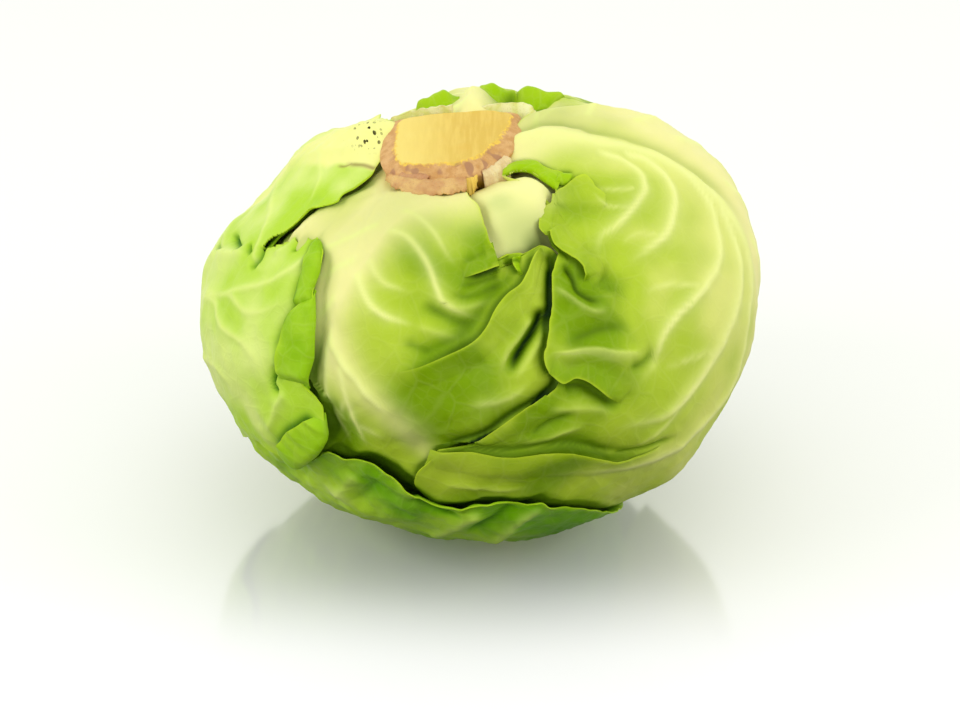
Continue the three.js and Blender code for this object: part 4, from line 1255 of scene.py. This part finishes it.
class NodeDesk:
    # short ways to add and join the nodes of a material or a world
    def __init__(self, owner):
        owner.use_nodes = True
        self.owner = owner
        self.nodes = owner.node_tree.nodes
        self.links = owner.node_tree.links
        self.shader = self.nodes.get("Principled BSDF")

    def add(self, kind, **settings):
        made = self.nodes.new(kind)
        for key, value in settings.items():
            setattr(made, key, value)
        return made

    def put(self, socket, value):
        if isinstance(value, bpy.types.NodeSocket):
            self.links.new(value, socket)
        elif isinstance(value, tuple) and socket.type == "RGBA":
            socket.default_value = (*value, 1)
        else:
            socket.default_value = value

    def fill(self, node, **values):
        # values by socket name, with _ for a space
        for name, value in values.items():
            self.put(node.inputs[name.replace("_", " ")], value)
        return node

    def set(self, **values):
        self.fill(self.shader, **values)

    def mask(self, name, output="Fac"):
        return self.add("ShaderNodeAttribute", attribute_name=name).outputs[output]

    def sum(self, operation, a, b=0.5, clamp=False):
        made = self.add("ShaderNodeMath", operation=operation, use_clamp=clamp)
        self.put(made.inputs[0], a)
        self.put(made.inputs[1], b)
        return made.outputs[0]

    def plus(self, a, b, clamp=False):
        return self.sum("ADD", a, b, clamp)

    def times(self, a, b, clamp=False):
        return self.sum("MULTIPLY", a, b, clamp)

    def mix(self, factor, a, b):
        made = self.add("ShaderNodeMix", data_type="RGBA")
        for slot, value in ((0, factor), (6, a), (7, b)):
            self.put(made.inputs[slot], value)
        return made.outputs[2]

    def noise(self, vector, scale, detail=2.0, output="Fac"):
        return self.fill(self.add("ShaderNodeTexNoise"), Scale=scale, Detail=detail,
                         Vector=vector).outputs[output]

    def cells(self, vector, scale, width):
        made = self.fill(self.add("ShaderNodeTexVoronoi", feature="DISTANCE_TO_EDGE"),
                         Scale=scale, Vector=vector)
        return self.span(made.outputs["Distance"], 0, width, 1, 0)

    def stretched(self, vector, scale):
        return self.fill(self.add("ShaderNodeMapping"), Scale=scale, Vector=vector).outputs[0]

    def dots(self, vector, scale):
        # round dots, in about half of the cells
        made = self.fill(self.add("ShaderNodeTexVoronoi"), Scale=scale,
                         Vector=self.stretched(vector, (0.5, 1, 1)))
        chosen = self.add("ShaderNodeSeparateColor")
        self.links.new(made.outputs["Color"], chosen.inputs[0])
        size = self.span(chosen.outputs[0], 0.45, 1.0, 0.0, 0.5)
        return self.sum("GREATER_THAN", size, made.outputs["Distance"])

    def axis(self, vector, name):
        made = self.add("ShaderNodeSeparateXYZ")
        self.links.new(vector, made.inputs[0])
        return made.outputs[name]

    def span(self, value, low, high, start, end):
        return self.fill(self.add("ShaderNodeMapRange", interpolation_type="SMOOTHSTEP"),
                         Value=value, From_Min=low, From_Max=high, To_Min=start,
                         To_Max=end).outputs["Result"]

    def bump(self, height, strength, distance):
        made = self.fill(self.add("ShaderNodeBump"), Strength=strength, Distance=distance,
                         Height=height)
        self.links.new(made.outputs["Normal"], self.shader.inputs["Normal"])


# Shares are how strongly each tint shows at most.
leafFinish = {
    "netScale": 1.6, "fineNet": 2.6, "netWidth": 0.07, "fineNetWidth": 0.10,
    # the rim and crest shares are of painted highlights
    "netShare": 0.045, "innerNetShare": 0.06, "rimShare": 0.6, "dryShare": 0.75,
    "crestShare": 0.5, "dotScale": 13, "dotTint": sRGB(44, 40, 6),
    "unevenGreen": 0.35, "unevenCream": 0.2, "bend": 0.10,
    "grain": 0.14, "grainDepth": 0.0005,
}
# the rim tint is a painted highlight along the margins; shaded and shade are painted shade
paleLeafTints = {
    "light": sRGB(218, 228, 108), "middle": sRGB(180, 206, 52), "deep": sRGB(124, 162, 2),
    "shade": sRGB(16, 46, 0), "shaded": sRGB(112, 150, 12), "cream": sRGB(244, 240, 158),
    "vein": sRGB(244, 250, 154), "litRim": sRGB(200, 224, 50), "inside": sRGB(156, 200, 0),
    "dry": sRGB(150, 128, 78), "veinShare": 0.95, "roughness": 0.46,
}
greenLeafTints = {
    "light": sRGB(222, 240, 132), "middle": sRGB(180, 220, 52), "deep": sRGB(112, 174, 0),
    "shade": sRGB(12, 52, 0), "shaded": sRGB(84, 146, 4), "cream": sRGB(246, 246, 148),
    "vein": sRGB(236, 248, 146), "litRim": sRGB(190, 224, 44), "inside": sRGB(142, 192, 8),
    "dry": sRGB(140, 116, 66), "veinShare": 0.65, "roughness": 0.44,
}


def leafSkin(name, tints):
    desk, finish = NodeDesk(bpy.data.materials.new(name)), leafFinish
    place = desk.mask("leafPlace", "Vector")
    cloudy = desk.noise(place, 1.0, 3)
    uneven = desk.sum("SUBTRACT", cloudy, 0.5)
    away = desk.add("ShaderNodeMix", data_type="VECTOR")
    for slot, value in ((0, finish["bend"]), (4, place), (5, desk.noise(place, 3.0, 2, "Color"))):
        desk.put(away.inputs[slot], value)
    bent, scale = away.outputs[1], finish["netScale"]
    net = desk.sum("MAXIMUM", desk.cells(bent, scale, finish["netWidth"]),
                   desk.times(desk.cells(bent, scale * finish["fineNet"],
                                         finish["fineNetWidth"]), 0.5))
    pale, green, vein, litRim, inner, dry, shade, crestHighlight, specks = (desk.mask(k) for k in (
        "pale", "green", "vein", "litRim", "inner", "dry", "shade", "crestHighlight", "specks"))
    net = desk.times(net, desk.sum("SUBTRACT", 1.0, pale, True))
    depth = desk.plus(green, desk.times(uneven, finish["unevenGreen"]), True)
    creamy = desk.plus(pale, desk.times(uneven, finish["unevenCream"]), True)
    inside = desk.mix(desk.span(cloudy, 0.35, 0.65, 0, 0.5), tints["inside"], tints["middle"])
    inside = desk.mix(desk.times(net, finish["innerNetShare"]), inside, tints["vein"])
    blade = desk.mix(desk.span(depth, 0, 0.5, 0, 1), tints["light"], tints["middle"])
    for share, tint in (
            (desk.span(depth, 0.5, 1, 0, 1), tints["deep"]),
            (desk.times(net, finish["netShare"]), tints["vein"]),
            (creamy, tints["cream"]),
            (desk.times(vein, tints["veinShare"]), tints["vein"]),
            (inner, inside),
            # a painted highlight along the margins
            (desk.times(litRim, finish["rimShare"]), tints["litRim"]),
            (desk.times(dry, finish["dryShare"]), tints["dry"]),
            # a painted highlight on the sharp crests
            (desk.times(crestHighlight, finish["crestShare"], True), tints["vein"]),
            # a shaded place turns a full green before it turns dark
            (desk.times(shade, 1.5, True), tints["shaded"]),
            (desk.times(shade, shade, True), tints["shade"]),
            (desk.times(specks, desk.dots(place, finish["dotScale"])), finish["dotTint"])):
        blade = desk.mix(share, blade, tint)
    rough = tints["roughness"]
    desk.set(Base_Color=blade, Roughness=desk.span(cloudy, 0.3, 0.7, rough - 0.05, rough + 0.08),
             Subsurface_Weight=0.10, Subsurface_Radius=(0.9, 1.0, 0.2), Subsurface_Scale=0.003,
             Specular_IOR_Level=0.07)
    grain = desk.plus(desk.times(net, 0.8), desk.times(desk.noise(place, 22, 3), 0.15))
    desk.bump(grain, finish["grain"], finish["grainDepth"])
    return desk.owner


leafSkins = {
    "pale_leaf": leafSkin("pale leaf skin", paleLeafTints),
    "green_leaf": leafSkin("green leaf skin", greenLeafTints),
}

for index, leaf in enumerate(wrapperLeaves):
    piece = makeLeaf(index)
    piece.data.materials.append(leafSkins[leaf["slot"]])
    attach(piece, "root")
    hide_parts(leaf["name"])


# The tight heart. It shows between the front and the right leaf, just below the stem.
heart = {
    "segments": (176, 96), "gap": 0.9, "under": 1.8,  # it lies deeper where leaves hide it
    "lowest": 2.6, "stemRoom": 0.9, "stemSlope": 3.0,
    # place, spread in degrees, height
    "bulge": ((32, -60), 13, 6.0),
    "dents": [((30, -74), 3.6, -0.8), ((40, -74), 5, -0.8), ((44, -66), 5, -1.0)],
    # greener, greyer places: the first three are painted shade in the dents, the others its
    # greener part
    "greenAndDentShade": [((30, -73), 3.2, 0.4), ((38, -70), 7, 0.35), ((43, -62), 5, 0.3),
               ((60, -72), 12, 1.0), ((52, -64), 7, 0.8)],
    # brownish painted shade just below the stem
    "shadeBelowStem": ((17, -76), 5, 1.0),
}

# The cut stem, in millimetres along the head's own axes. Fibres fray where the pith ends.
stem = {
    "rows": 190, "top": 57.5, "depth": 10.0,
    "pithOnGrid": 0.66, "rindOnGrid": 0.86,  # where the pith and the rind end on the grid
    "outline": [(-19.5, 15), (-4, 15.8), (9, 15.5), (15, 14), (16, 7), (14.5, -2), (10.5, -10),
                (4.5, -15.5), (-2, -17.5), (-15, -16.5), (-20.5, -13.5), (-22.8, -7),
                (-22.3, 6)],
    # degrees around, width of the rind, how far it drops
    "rind": [(-180, 4.6, 1.6), (-150, 4.4, 2.0), (-125, 3.6, 2.6), (-100, 3.4, 3.0),
             (-70, 4.4, 3.2), (-40, 5.0, 2.6), (-10, 4.6, 2.0), (20, 4.4, 1.6), (45, 3.0, 1.0),
             (60, 1.0, 0.5), (90, 0.8, 0.5), (120, 1.0, 0.5), (140, 3.4, 1.0), (180, 4.6, 1.6)],
}


def roundLine(points, steps=720):
    # distance of a closed outline from its middle, by degrees around
    line = smoothLine(points, 4000, closed=True)
    around = np.degrees(np.arctan2(line[:, 1], line[:, 0]))
    order = np.argsort(around)
    return np.interp(np.arange(steps) / steps * 360 - 180, around[order],
                     np.hypot(line[:, 0], line[:, 1])[order], period=360)


stemOutline = roundLine(stem["outline"])


def stemSide(around):
    return np.interp((np.degrees(around) + 180) % 360, np.arange(len(stemOutline)) / 2,
                     stemOutline, period=360)


def ripple(seed, values, size, count=9):
    # an uneven wave of about 1 along a run of values, of the given wavelength
    rng = random.Random(seed)
    total = np.zeros(len(values))
    for _ in range(count):
        k = fullTurn / size * rng.uniform(0.5, 1.7)
        total += np.sin(values * k + rng.uniform(0, fullTurn))
    return total / math.sqrt(count)


def patches(seed, x, y, size, count=14):
    # the same over a flat area
    rng = random.Random(seed)
    total = np.zeros(len(x))
    for _ in range(count):
        turn = rng.uniform(0, fullTurn)
        k = fullTurn / size * rng.uniform(0.6, 1.6)
        total += np.sin((x * math.cos(turn) + y * math.sin(turn)) * k + rng.uniform(0, fullTurn))
    return total / math.sqrt(count)


def makeHeart():
    columns, rings = heart["segments"]
    deselectAll()
    bpy.ops.mesh.primitive_uv_sphere_add(segments=columns, ring_count=rings, radius=1)
    piece = bpy.context.object
    rename(piece, "heart_piece")
    d = unit(readPoints(piece))
    bulge = spots(d, [heart["bulge"]])
    covered = np.zeros(len(d))
    for leaf in wrapperLeaves:
        past = pastMargin(leaf, toLeaf(leaf, d))
        covered = np.maximum(covered, ease(-past, 0.5, 5))
        bulge *= ease(past, -1.0, 4.0)
    radius = (heartRadius(d) - heart["gap"] + bulge - heart["under"] * covered
              + spots(d, heart["dents"]) + 0.15 * waves(d, 71, 14))
    # it stays clear of the stem
    beside = radius * np.hypot(d[:, 0], d[:, 1]) - stemSide(np.arctan2(d[:, 1], d[:, 0]))
    room = (stem["top"] - stem["depth"] - heart["stemRoom"]
            + heart["stemSlope"] * np.maximum(beside - 0.5, 0))
    radius = np.minimum(radius, room / np.maximum(d[:, 2], 0.5))
    shapeGrid(piece, toScene(d * radius[:, None], heart["lowest"]))
    # the green mask carries the painted shade of the dents as well
    green = 0.05 + spots(d, heart["greenAndDentShade"]) + 0.9 * ease(np.degrees(np.arccos(d[:, 2])), 60, 85)
    addMask(piece, "green", np.clip(green, 0, 1))
    # brownish painted shade just below the stem
    addMask(piece, "shadeBelowStem", spots(d, [heart["shadeBelowStem"]]))
    addPlaces(piece, "leafPlace", d * 6)
    print("heart made")
    return piece


def makeStem():
    rows = stem["rows"]
    piece, grid = newGrid("stem_piece", rows, rows)
    ring, bearing = squareToRound(grid[:, 0], grid[:, 1])
    around = np.arctan2(np.sin(bearing), np.cos(bearing))
    table = np.array(stem["rind"], float)
    width, drop = (np.interp(np.degrees(around), table[:, 0], table[:, k]) for k in (1, 2))
    side = stemSide(around) + 0.06 * ripple(1, around * 18, 9)
    pith = side - width
    inPith, inRind = stem["pithOnGrid"], stem["rindOnGrid"]
    # shares of the way over the pith, over the rind and in underneath
    a = np.clip(ring / inPith, 0, 1)
    b = np.clip((ring - inPith) / (inRind - inPith), 0, 1)
    c = np.clip((ring - inRind) / (1 - inRind), 0, 1)
    distance = pith * a + (side - pith) * b - side * 0.14 * c ** 1.3
    x, y = distance * np.cos(around), distance * np.sin(around)
    front = ease(-np.sin(around), 0.2, 0.8)
    torn = patches(8, x, y, 4.5)
    # distance past the frayed edge of the pith
    past = distance - pith + 0.20 * patches(9, x, y, 5)
    height = 0.05 * patches(6, x, y, 7) - 0.45 * ease(past, -0.2, 0.7)
    height -= drop * b ** 1.2 + 0.16 * drop * torn * b * (0.15 + front)
    height += (0.25 * torn * (0.08 + front)
               + 0.10 * patches(7, x, y, 1.6) * (0.3 + 0.7 * front)) * b * (1 - c)
    height -= (stem["depth"] - drop - 0.6) * c
    points = np.column_stack([x, y, stem["top"] + height])
    shapeGrid(piece, toScene(points))
    rind = ease(past, -0.1, 0.4)
    addMask(piece, "fromPith", past)
    addMask(piece, "torn", ease(torn, 0.1, 1.0) * rind * (1 - c) * (0.15 + 0.85 * front))
    # the flesh of the stem going down into the head, its own deeper yellow with painted shade
    addMask(piece, "deep", ease(c, 0.05, 0.6))
    addPlaces(piece, "stemPlace", points / 10)
    # close it underneath
    selectOnly(piece)
    bpy.ops.object.mode_set(mode="EDIT")
    bpy.ops.mesh.select_all(action="DESELECT")
    bpy.ops.mesh.select_mode(type="EDGE")
    bpy.ops.mesh.select_non_manifold(extend=False, use_boundary=True)
    bpy.ops.mesh.edge_face_add()
    bpy.ops.object.mode_set(mode="OBJECT")
    print("stem made")
    return piece


def heartSkin():
    desk = NodeDesk(bpy.data.materials.new("tight pale heart"))
    place = desk.mask("leafPlace", "Vector")
    green = desk.plus(desk.mask("green"), desk.times(desk.noise(place, 1.2, 3), 0.12), True)
    # grey-green for its greener part and for the painted shade in its dents
    skin = desk.mix(desk.span(green, 0.05, 0.6, 0, 1), sRGB(246, 244, 160), sRGB(214, 222, 136))
    skin = desk.mix(desk.span(green, 0.6, 1, 0, 1), skin, sRGB(96, 130, 20))
    # brownish painted shade just below the stem
    skin = desk.mix(desk.mask("shadeBelowStem"), skin, sRGB(150, 120, 10))
    desk.set(Base_Color=skin, Roughness=0.45, Subsurface_Weight=0.12,
             Subsurface_Radius=(1.0, 0.9, 0.3), Subsurface_Scale=0.004, Specular_IOR_Level=0.2)
    desk.bump(desk.noise(place, 14, 3), 0.08, 0.0004)
    return desk.owner


def stemSkin():
    desk = NodeDesk(bpy.data.materials.new("cut stem"))
    place = desk.mask("stemPlace", "Vector")
    streaks = desk.noise(desk.stretched(place, (3.0, 0.35, 0.35)), 2.2, 3)
    cloudy, fine, ringed = (desk.noise(place, scale, detail)
                            for scale, detail in ((1.1, 3), (26, 3), (4.5, 4)))
    # the edge of the pith is frayed
    past = desk.plus(desk.mask("fromPith"),
                     desk.span(desk.noise(place, 5, 4), 0.25, 0.75, -0.55, 0.55))
    rind = desk.span(past, -0.15, 0.25, 0, 1)
    fibre = desk.span(desk.sum("ABSOLUTE", desk.sum("SUBTRACT", past, 0.2)), 0, 0.6, 1, 0)
    pith = desk.mix(desk.span(streaks, 0.35, 0.65, 0, 1), sRGB(222, 188, 84), sRGB(231, 200, 98))
    pith = desk.mix(desk.span(cloudy, 0.45, 0.75, 0, 0.5), pith, sRGB(224, 184, 80))
    # painted highlight: the cut face is lighter towards its left
    pith = desk.mix(desk.span(desk.axis(place, "X"), -1.9, 0.2, 0.75, 0), pith,
                    sRGB(246, 226, 124))
    bark = desk.mix(desk.span(ringed, 0.35, 0.65, 0, 1), sRGB(206, 156, 94), sRGB(222, 178, 118))
    bark = desk.mix(desk.span(fine, 0.5, 0.75, 0, 0.5), bark, sRGB(188, 136, 84))
    cut = desk.mix(rind, pith, bark)
    cut = desk.mix(desk.span(desk.mask("torn"), 0.1, 0.8, 0, 0.85), cut, sRGB(176, 130, 96))
    frays = desk.times(fibre, desk.span(desk.noise(place, 9, 2), 0.35, 0.6, 0.3, 1), True)
    cut = desk.mix(frays, cut, sRGB(244, 208, 84))
    # a deeper yellow down the stem's side: its own colour with painted shade
    cut = desk.mix(desk.mask("deep"), cut, sRGB(214, 168, 40))
    desk.set(Base_Color=cut, Roughness=0.6, Subsurface_Weight=0.08,
             Subsurface_Radius=(1.0, 0.7, 0.3), Subsurface_Scale=0.003, Specular_IOR_Level=0.15)
    desk.bump(desk.plus(desk.times(streaks, 0.4), desk.times(fine, 0.6)), 0.30, 0.0005)
    return desk.owner


heartPiece = makeHeart()
heartPiece.data.materials.append(heartSkin())
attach(heartPiece, "root")
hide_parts("heart")

stemPiece = makeStem()
stemPiece.data.materials.append(stemSkin())
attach(stemPiece, "root")
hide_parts("stem")

# Torn bases of the trimmed leaves round the stem, each of one or more torn strips.
# A strip runs along "around"; its inner and outer lines give (distance from the stem's side,
# height under the cut) at its start, middle and end. curl bends it, ragged frays its outer line.
tornStrips = {
    "leaf_stub_front": {"tone": "flesh", "strips": [
        {"around": (-144, -88), "inner": [(-0.8, 2.4), (-1.2, 3.0), (-1.0, 3.4)],
         "outer": [(2.0, 3.4), (6.4, 4.6), (4.4, 5.0)], "curl": 1.2, "ragged": 0.35, "seed": 61},
        {"around": (-92, -78), "inner": [(-0.9, 3.0), (-1.0, 3.2), (-0.8, 3.4)],
         "outer": [(1.0, 5.0), (3.4, 7.4), (0.8, 4.6)], "curl": 0.6, "ragged": 0.2, "seed": 62,
         "fibre": 1},
        {"around": (-138, -118), "inner": [(-1.2, 2.0), (-1.4, 1.8), (-1.2, 2.2)],
         "outer": [(0.8, 3.4), (1.6, 4.4), (1.0, 3.6)], "curl": 0.8, "ragged": 0.5, "seed": 63,
         "torn": 1},
    ]},
    "leaf_stub_right": {"tone": "pale flesh", "strips": [
        {"around": (-72, -38), "inner": [(-0.6, 3.0), (-0.6, 2.6), (-0.6, 2.2)],
         "outer": [(3.0, 7.6), (3.8, 7.2), (2.4, 3.4)], "curl": 1.0, "ragged": 0.35, "seed": 64},
    ]},
    "leaf_stub_back_right": {"tone": "pale green", "strips": [
        {"around": (28, 74), "inner": [(0.2, 4.5), (0.3, 4.5), (0.4, 4.5)],
         "outer": [(5.0, 0.8), (4.0, -0.2), (1.6, 0.0)], "curl": 1.0, "ragged": 0.05, "seed": 65},
    ]},
    "leaf_stub_back_left": {"tone": "pale green", "strips": [
        {"around": (100, 140), "inner": [(0.3, 4.5), (0.3, 4.5), (0.2, 4.5)],
         "outer": [(1.6, -1.0), (2.4, -0.4), (2.6, 1.4)], "curl": 0.8, "ragged": 0.05,
         "seed": 66},
    ]},
}

# light, dark and brown
stubTones = {
    "flesh": (sRGB(224, 184, 116), sRGB(208, 160, 104), sRGB(170, 112, 60)),
    "pale flesh": (sRGB(236, 216, 160), sRGB(220, 190, 134), sRGB(182, 130, 76)),
    "pale green": (sRGB(242, 242, 176), sRGB(222, 228, 130), sRGB(186, 150, 84)),
}


def makeStrip(name, plan):
    piece, grid = newGrid(name + "_strip", *(((60, 18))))
    u, v = (grid[:, 0] + 1) / 2, (grid[:, 1] + 1) / 2
    seed, ragged = plan["seed"], plan["ragged"]
    lines = smoothLine([(share, *inner, *outer) for share, inner, outer
                        in zip((0, 0.5, 1), plan["inner"], plan["outer"])], 60)
    a, b, c, d = (np.interp(u, lines[:, 0], lines[:, k]) for k in (1, 2, 3, 4))
    start, end = plan["around"]
    around = np.radians(start + (end - start) * u)
    run = u * 20
    reach = v * (1 + ragged * 0.16 * (ripple(seed, run, 4) + 0.6 * ripple(seed + 1, run, 1.3)))
    bend = plan["curl"] * np.sin(np.pi * v) + (0.1 + 0.6 * ragged) * ripple(seed + 2, run, 5) * v
    distance = stemSide(around) + a + (c - a) * reach + 0.5 * bend
    height = stem["top"] - b - (d - b) * reach + 0.8 * bend
    x, y = distance * np.cos(around), distance * np.sin(around)
    height += (0.04 + 0.3 * ragged) * patches(seed + 3, x, y, 2.5)
    points = np.column_stack([x, y, height])
    shapeGrid(piece, toScene(points))
    addMask(piece, "edge", bell(1 - v, 0.08, 1) + bell(v, 0.08, 1)
            + bell(np.minimum(u, 1 - u), 0.03, 1))
    for mark in ("fibre", "torn"):
        addMask(piece, mark, np.full(len(u), plan.get(mark, 0)))
    addPlaces(piece, "stemPlace", points / 10)
    giveThickness(piece, 0.7)
    return piece


def stubSkin(tone):
    light, dark, brown = stubTones[tone]
    desk = NodeDesk(bpy.data.materials.new("torn leaf base, " + tone))
    place = desk.mask("stemPlace", "Vector")
    cloudy, fine = desk.noise(place, 3.2, 3), desk.noise(place, 22, 3)
    worn = desk.times(desk.mask("edge"), desk.span(cloudy, 0.4, 0.7, 0.1, 0.7), True)
    skin = desk.mix(desk.span(cloudy, 0.35, 0.65, 0, 1), light, dark)
    for share, tint in ((desk.span(fine, 0.55, 0.8, 0, 0.5), brown),
                        (desk.times(desk.mask("fibre"), 0.85), sRGB(244, 206, 84)),
                        (desk.times(desk.mask("torn"), 0.7), sRGB(196, 142, 104)),
                        (worn, brown)):
        skin = desk.mix(share, skin, tint)
    desk.set(Base_Color=skin, Roughness=0.55, Subsurface_Weight=0.12,
             Subsurface_Radius=(1.0, 0.7, 0.3), Subsurface_Scale=0.003, Specular_IOR_Level=0.2)
    desk.bump(desk.plus(cloudy, fine), 0.3, 0.0004)
    return desk.owner


stubSkins = {tone: stubSkin(tone) for tone in stubTones}
for name, plan in tornStrips.items():
    piece = joinPieces([makeStrip(name, strip) for strip in plan["strips"]])
    rename(piece, name + "_piece")
    piece.data.materials.append(stubSkins[plan["tone"]])
    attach(piece, "root")
    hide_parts(name)
print("torn leaf bases made:", len(tornStrips))


studio = {
    "floorSize": 8.0, "floorTone": 0.99,
    # the shine fades out in front of the head, between two places along Y, in metres
    # the shine's green tint is a painted green cast from the head
    "shine": 0.29, "shineFrom": -0.045, "shineTo": -0.098, "shineGreenCast": (0.96, 1.0, 0.82),
    # the light of the room, and how much of it comes from below and from straight above
    "ambient": 1.10, "below": 0.05, "zenith": 0.68,
    # name, place, size, power
    "lights": [("overhead", (0.1, -0.1, 1.1), 0.9, 1.1), ("right", (0.9, -0.3, 0.6), 0.6, 1.8),
               ("left", (-0.9, -0.4, 0.6), 0.6, 2.6)],
    "aim": (0, 0, 0.05),
    # degrees, then millimetres
    "elevation": 25.0, "distance": 650.0, "lens": 85.0, "sensor": 36, "drop": 12.9,
}

deselectAll()
bpy.ops.mesh.primitive_plane_add(size=studio["floorSize"])
floor = bpy.context.object
floor.name = "floor"
desk = NodeDesk(bpy.data.materials.new("glossy white table"))
desk.set(Base_Color=(studio["floorTone"],) * 3, Roughness=0.5, Specular_IOR_Level=0.0)
# the shine is tinted green: a painted green reflection of the head
gloss = desk.fill(desk.add("ShaderNodeBsdfGlossy"), Roughness=0.10, Color=studio["shineGreenCast"])
coordinates = desk.add("ShaderNodeTexCoord").outputs["Object"]
fade = desk.span(desk.axis(coordinates, "Y"), studio["shineTo"], studio["shineFrom"], 0,
                 studio["shine"])
both = desk.add("ShaderNodeMixShader")
for slot, value in enumerate((fade, desk.shader.outputs[0], gloss.outputs[0])):
    desk.links.new(value, both.inputs[slot])
desk.links.new(both.outputs[0], desk.nodes["Material Output"].inputs[0])
floor.data.materials.append(desk.owner)
floor.visible_diffuse = False

world = bpy.data.worlds.new("studio")
bpy.context.scene.world = world
sky = NodeDesk(world)
upwards = sky.axis(sky.add("ShaderNodeTexCoord").outputs["Generated"], "Z")
rise = sky.fill(sky.add("ShaderNodeMapRange"), Value=upwards, From_Min=-0.42, From_Max=0.05,
                To_Min=studio["below"], To_Max=1.0)
# the walls of the studio are brighter than its ceiling
fall = sky.fill(sky.add("ShaderNodeMapRange"), Value=upwards, From_Min=0.1, From_Max=1.0,
                To_Min=studio["ambient"], To_Max=studio["ambient"] * studio["zenith"])
# the camera and shiny surfaces see a white studio, whatever light it gives
path = sky.add("ShaderNodeLightPath")
seen = sky.sum("MAXIMUM", path.outputs["Is Camera Ray"], path.outputs["Is Glossy Ray"])
level = sky.add("ShaderNodeMix")
given = sky.times(rise.outputs[0], fall.outputs[0])
for slot, value in ((0, seen), (2, given), (3, 1.0)):
    sky.put(level.inputs[slot], value)
sky.fill(sky.nodes["Background"], Strength=level.outputs[0], Color=(1, 1, 1))


def softLight(name, location, size, power):
    light = bpy.data.lights.new(name, "AREA")
    light.shape = "DISK"
    light.size = size
    light.energy = power
    lamp = bpy.data.objects.new(name, light)
    bpy.context.collection.objects.link(lamp)
    lamp.location = location
    aim = Vector(location) - Vector(studio["aim"])
    lamp.rotation_euler = aim.to_track_quat("Z", "Y").to_euler()


for lightPlan in studio["lights"]:
    softLight(*lightPlan)

elevation = math.radians(studio["elevation"])
forward = np.array([0, math.cos(elevation), -math.sin(elevation)])
upward = np.array([0, math.sin(elevation), math.cos(elevation)])
viewpoint = centreOfHead - studio["distance"] * forward - studio["drop"] * upward
cameraData = bpy.data.cameras.new("camera")
cameraData.lens = studio["lens"]
cameraData.sensor_width = studio["sensor"]
camera = bpy.data.objects.new("camera", cameraData)
bpy.context.collection.objects.link(camera)
camera.location = viewpoint / 1000
camera.rotation_euler = (math.radians(90) - elevation, 0, 0)
bpy.context.scene.camera = camera
bpy.context.scene.view_settings.view_transform = "Standard"
print("stage, light and camera set")
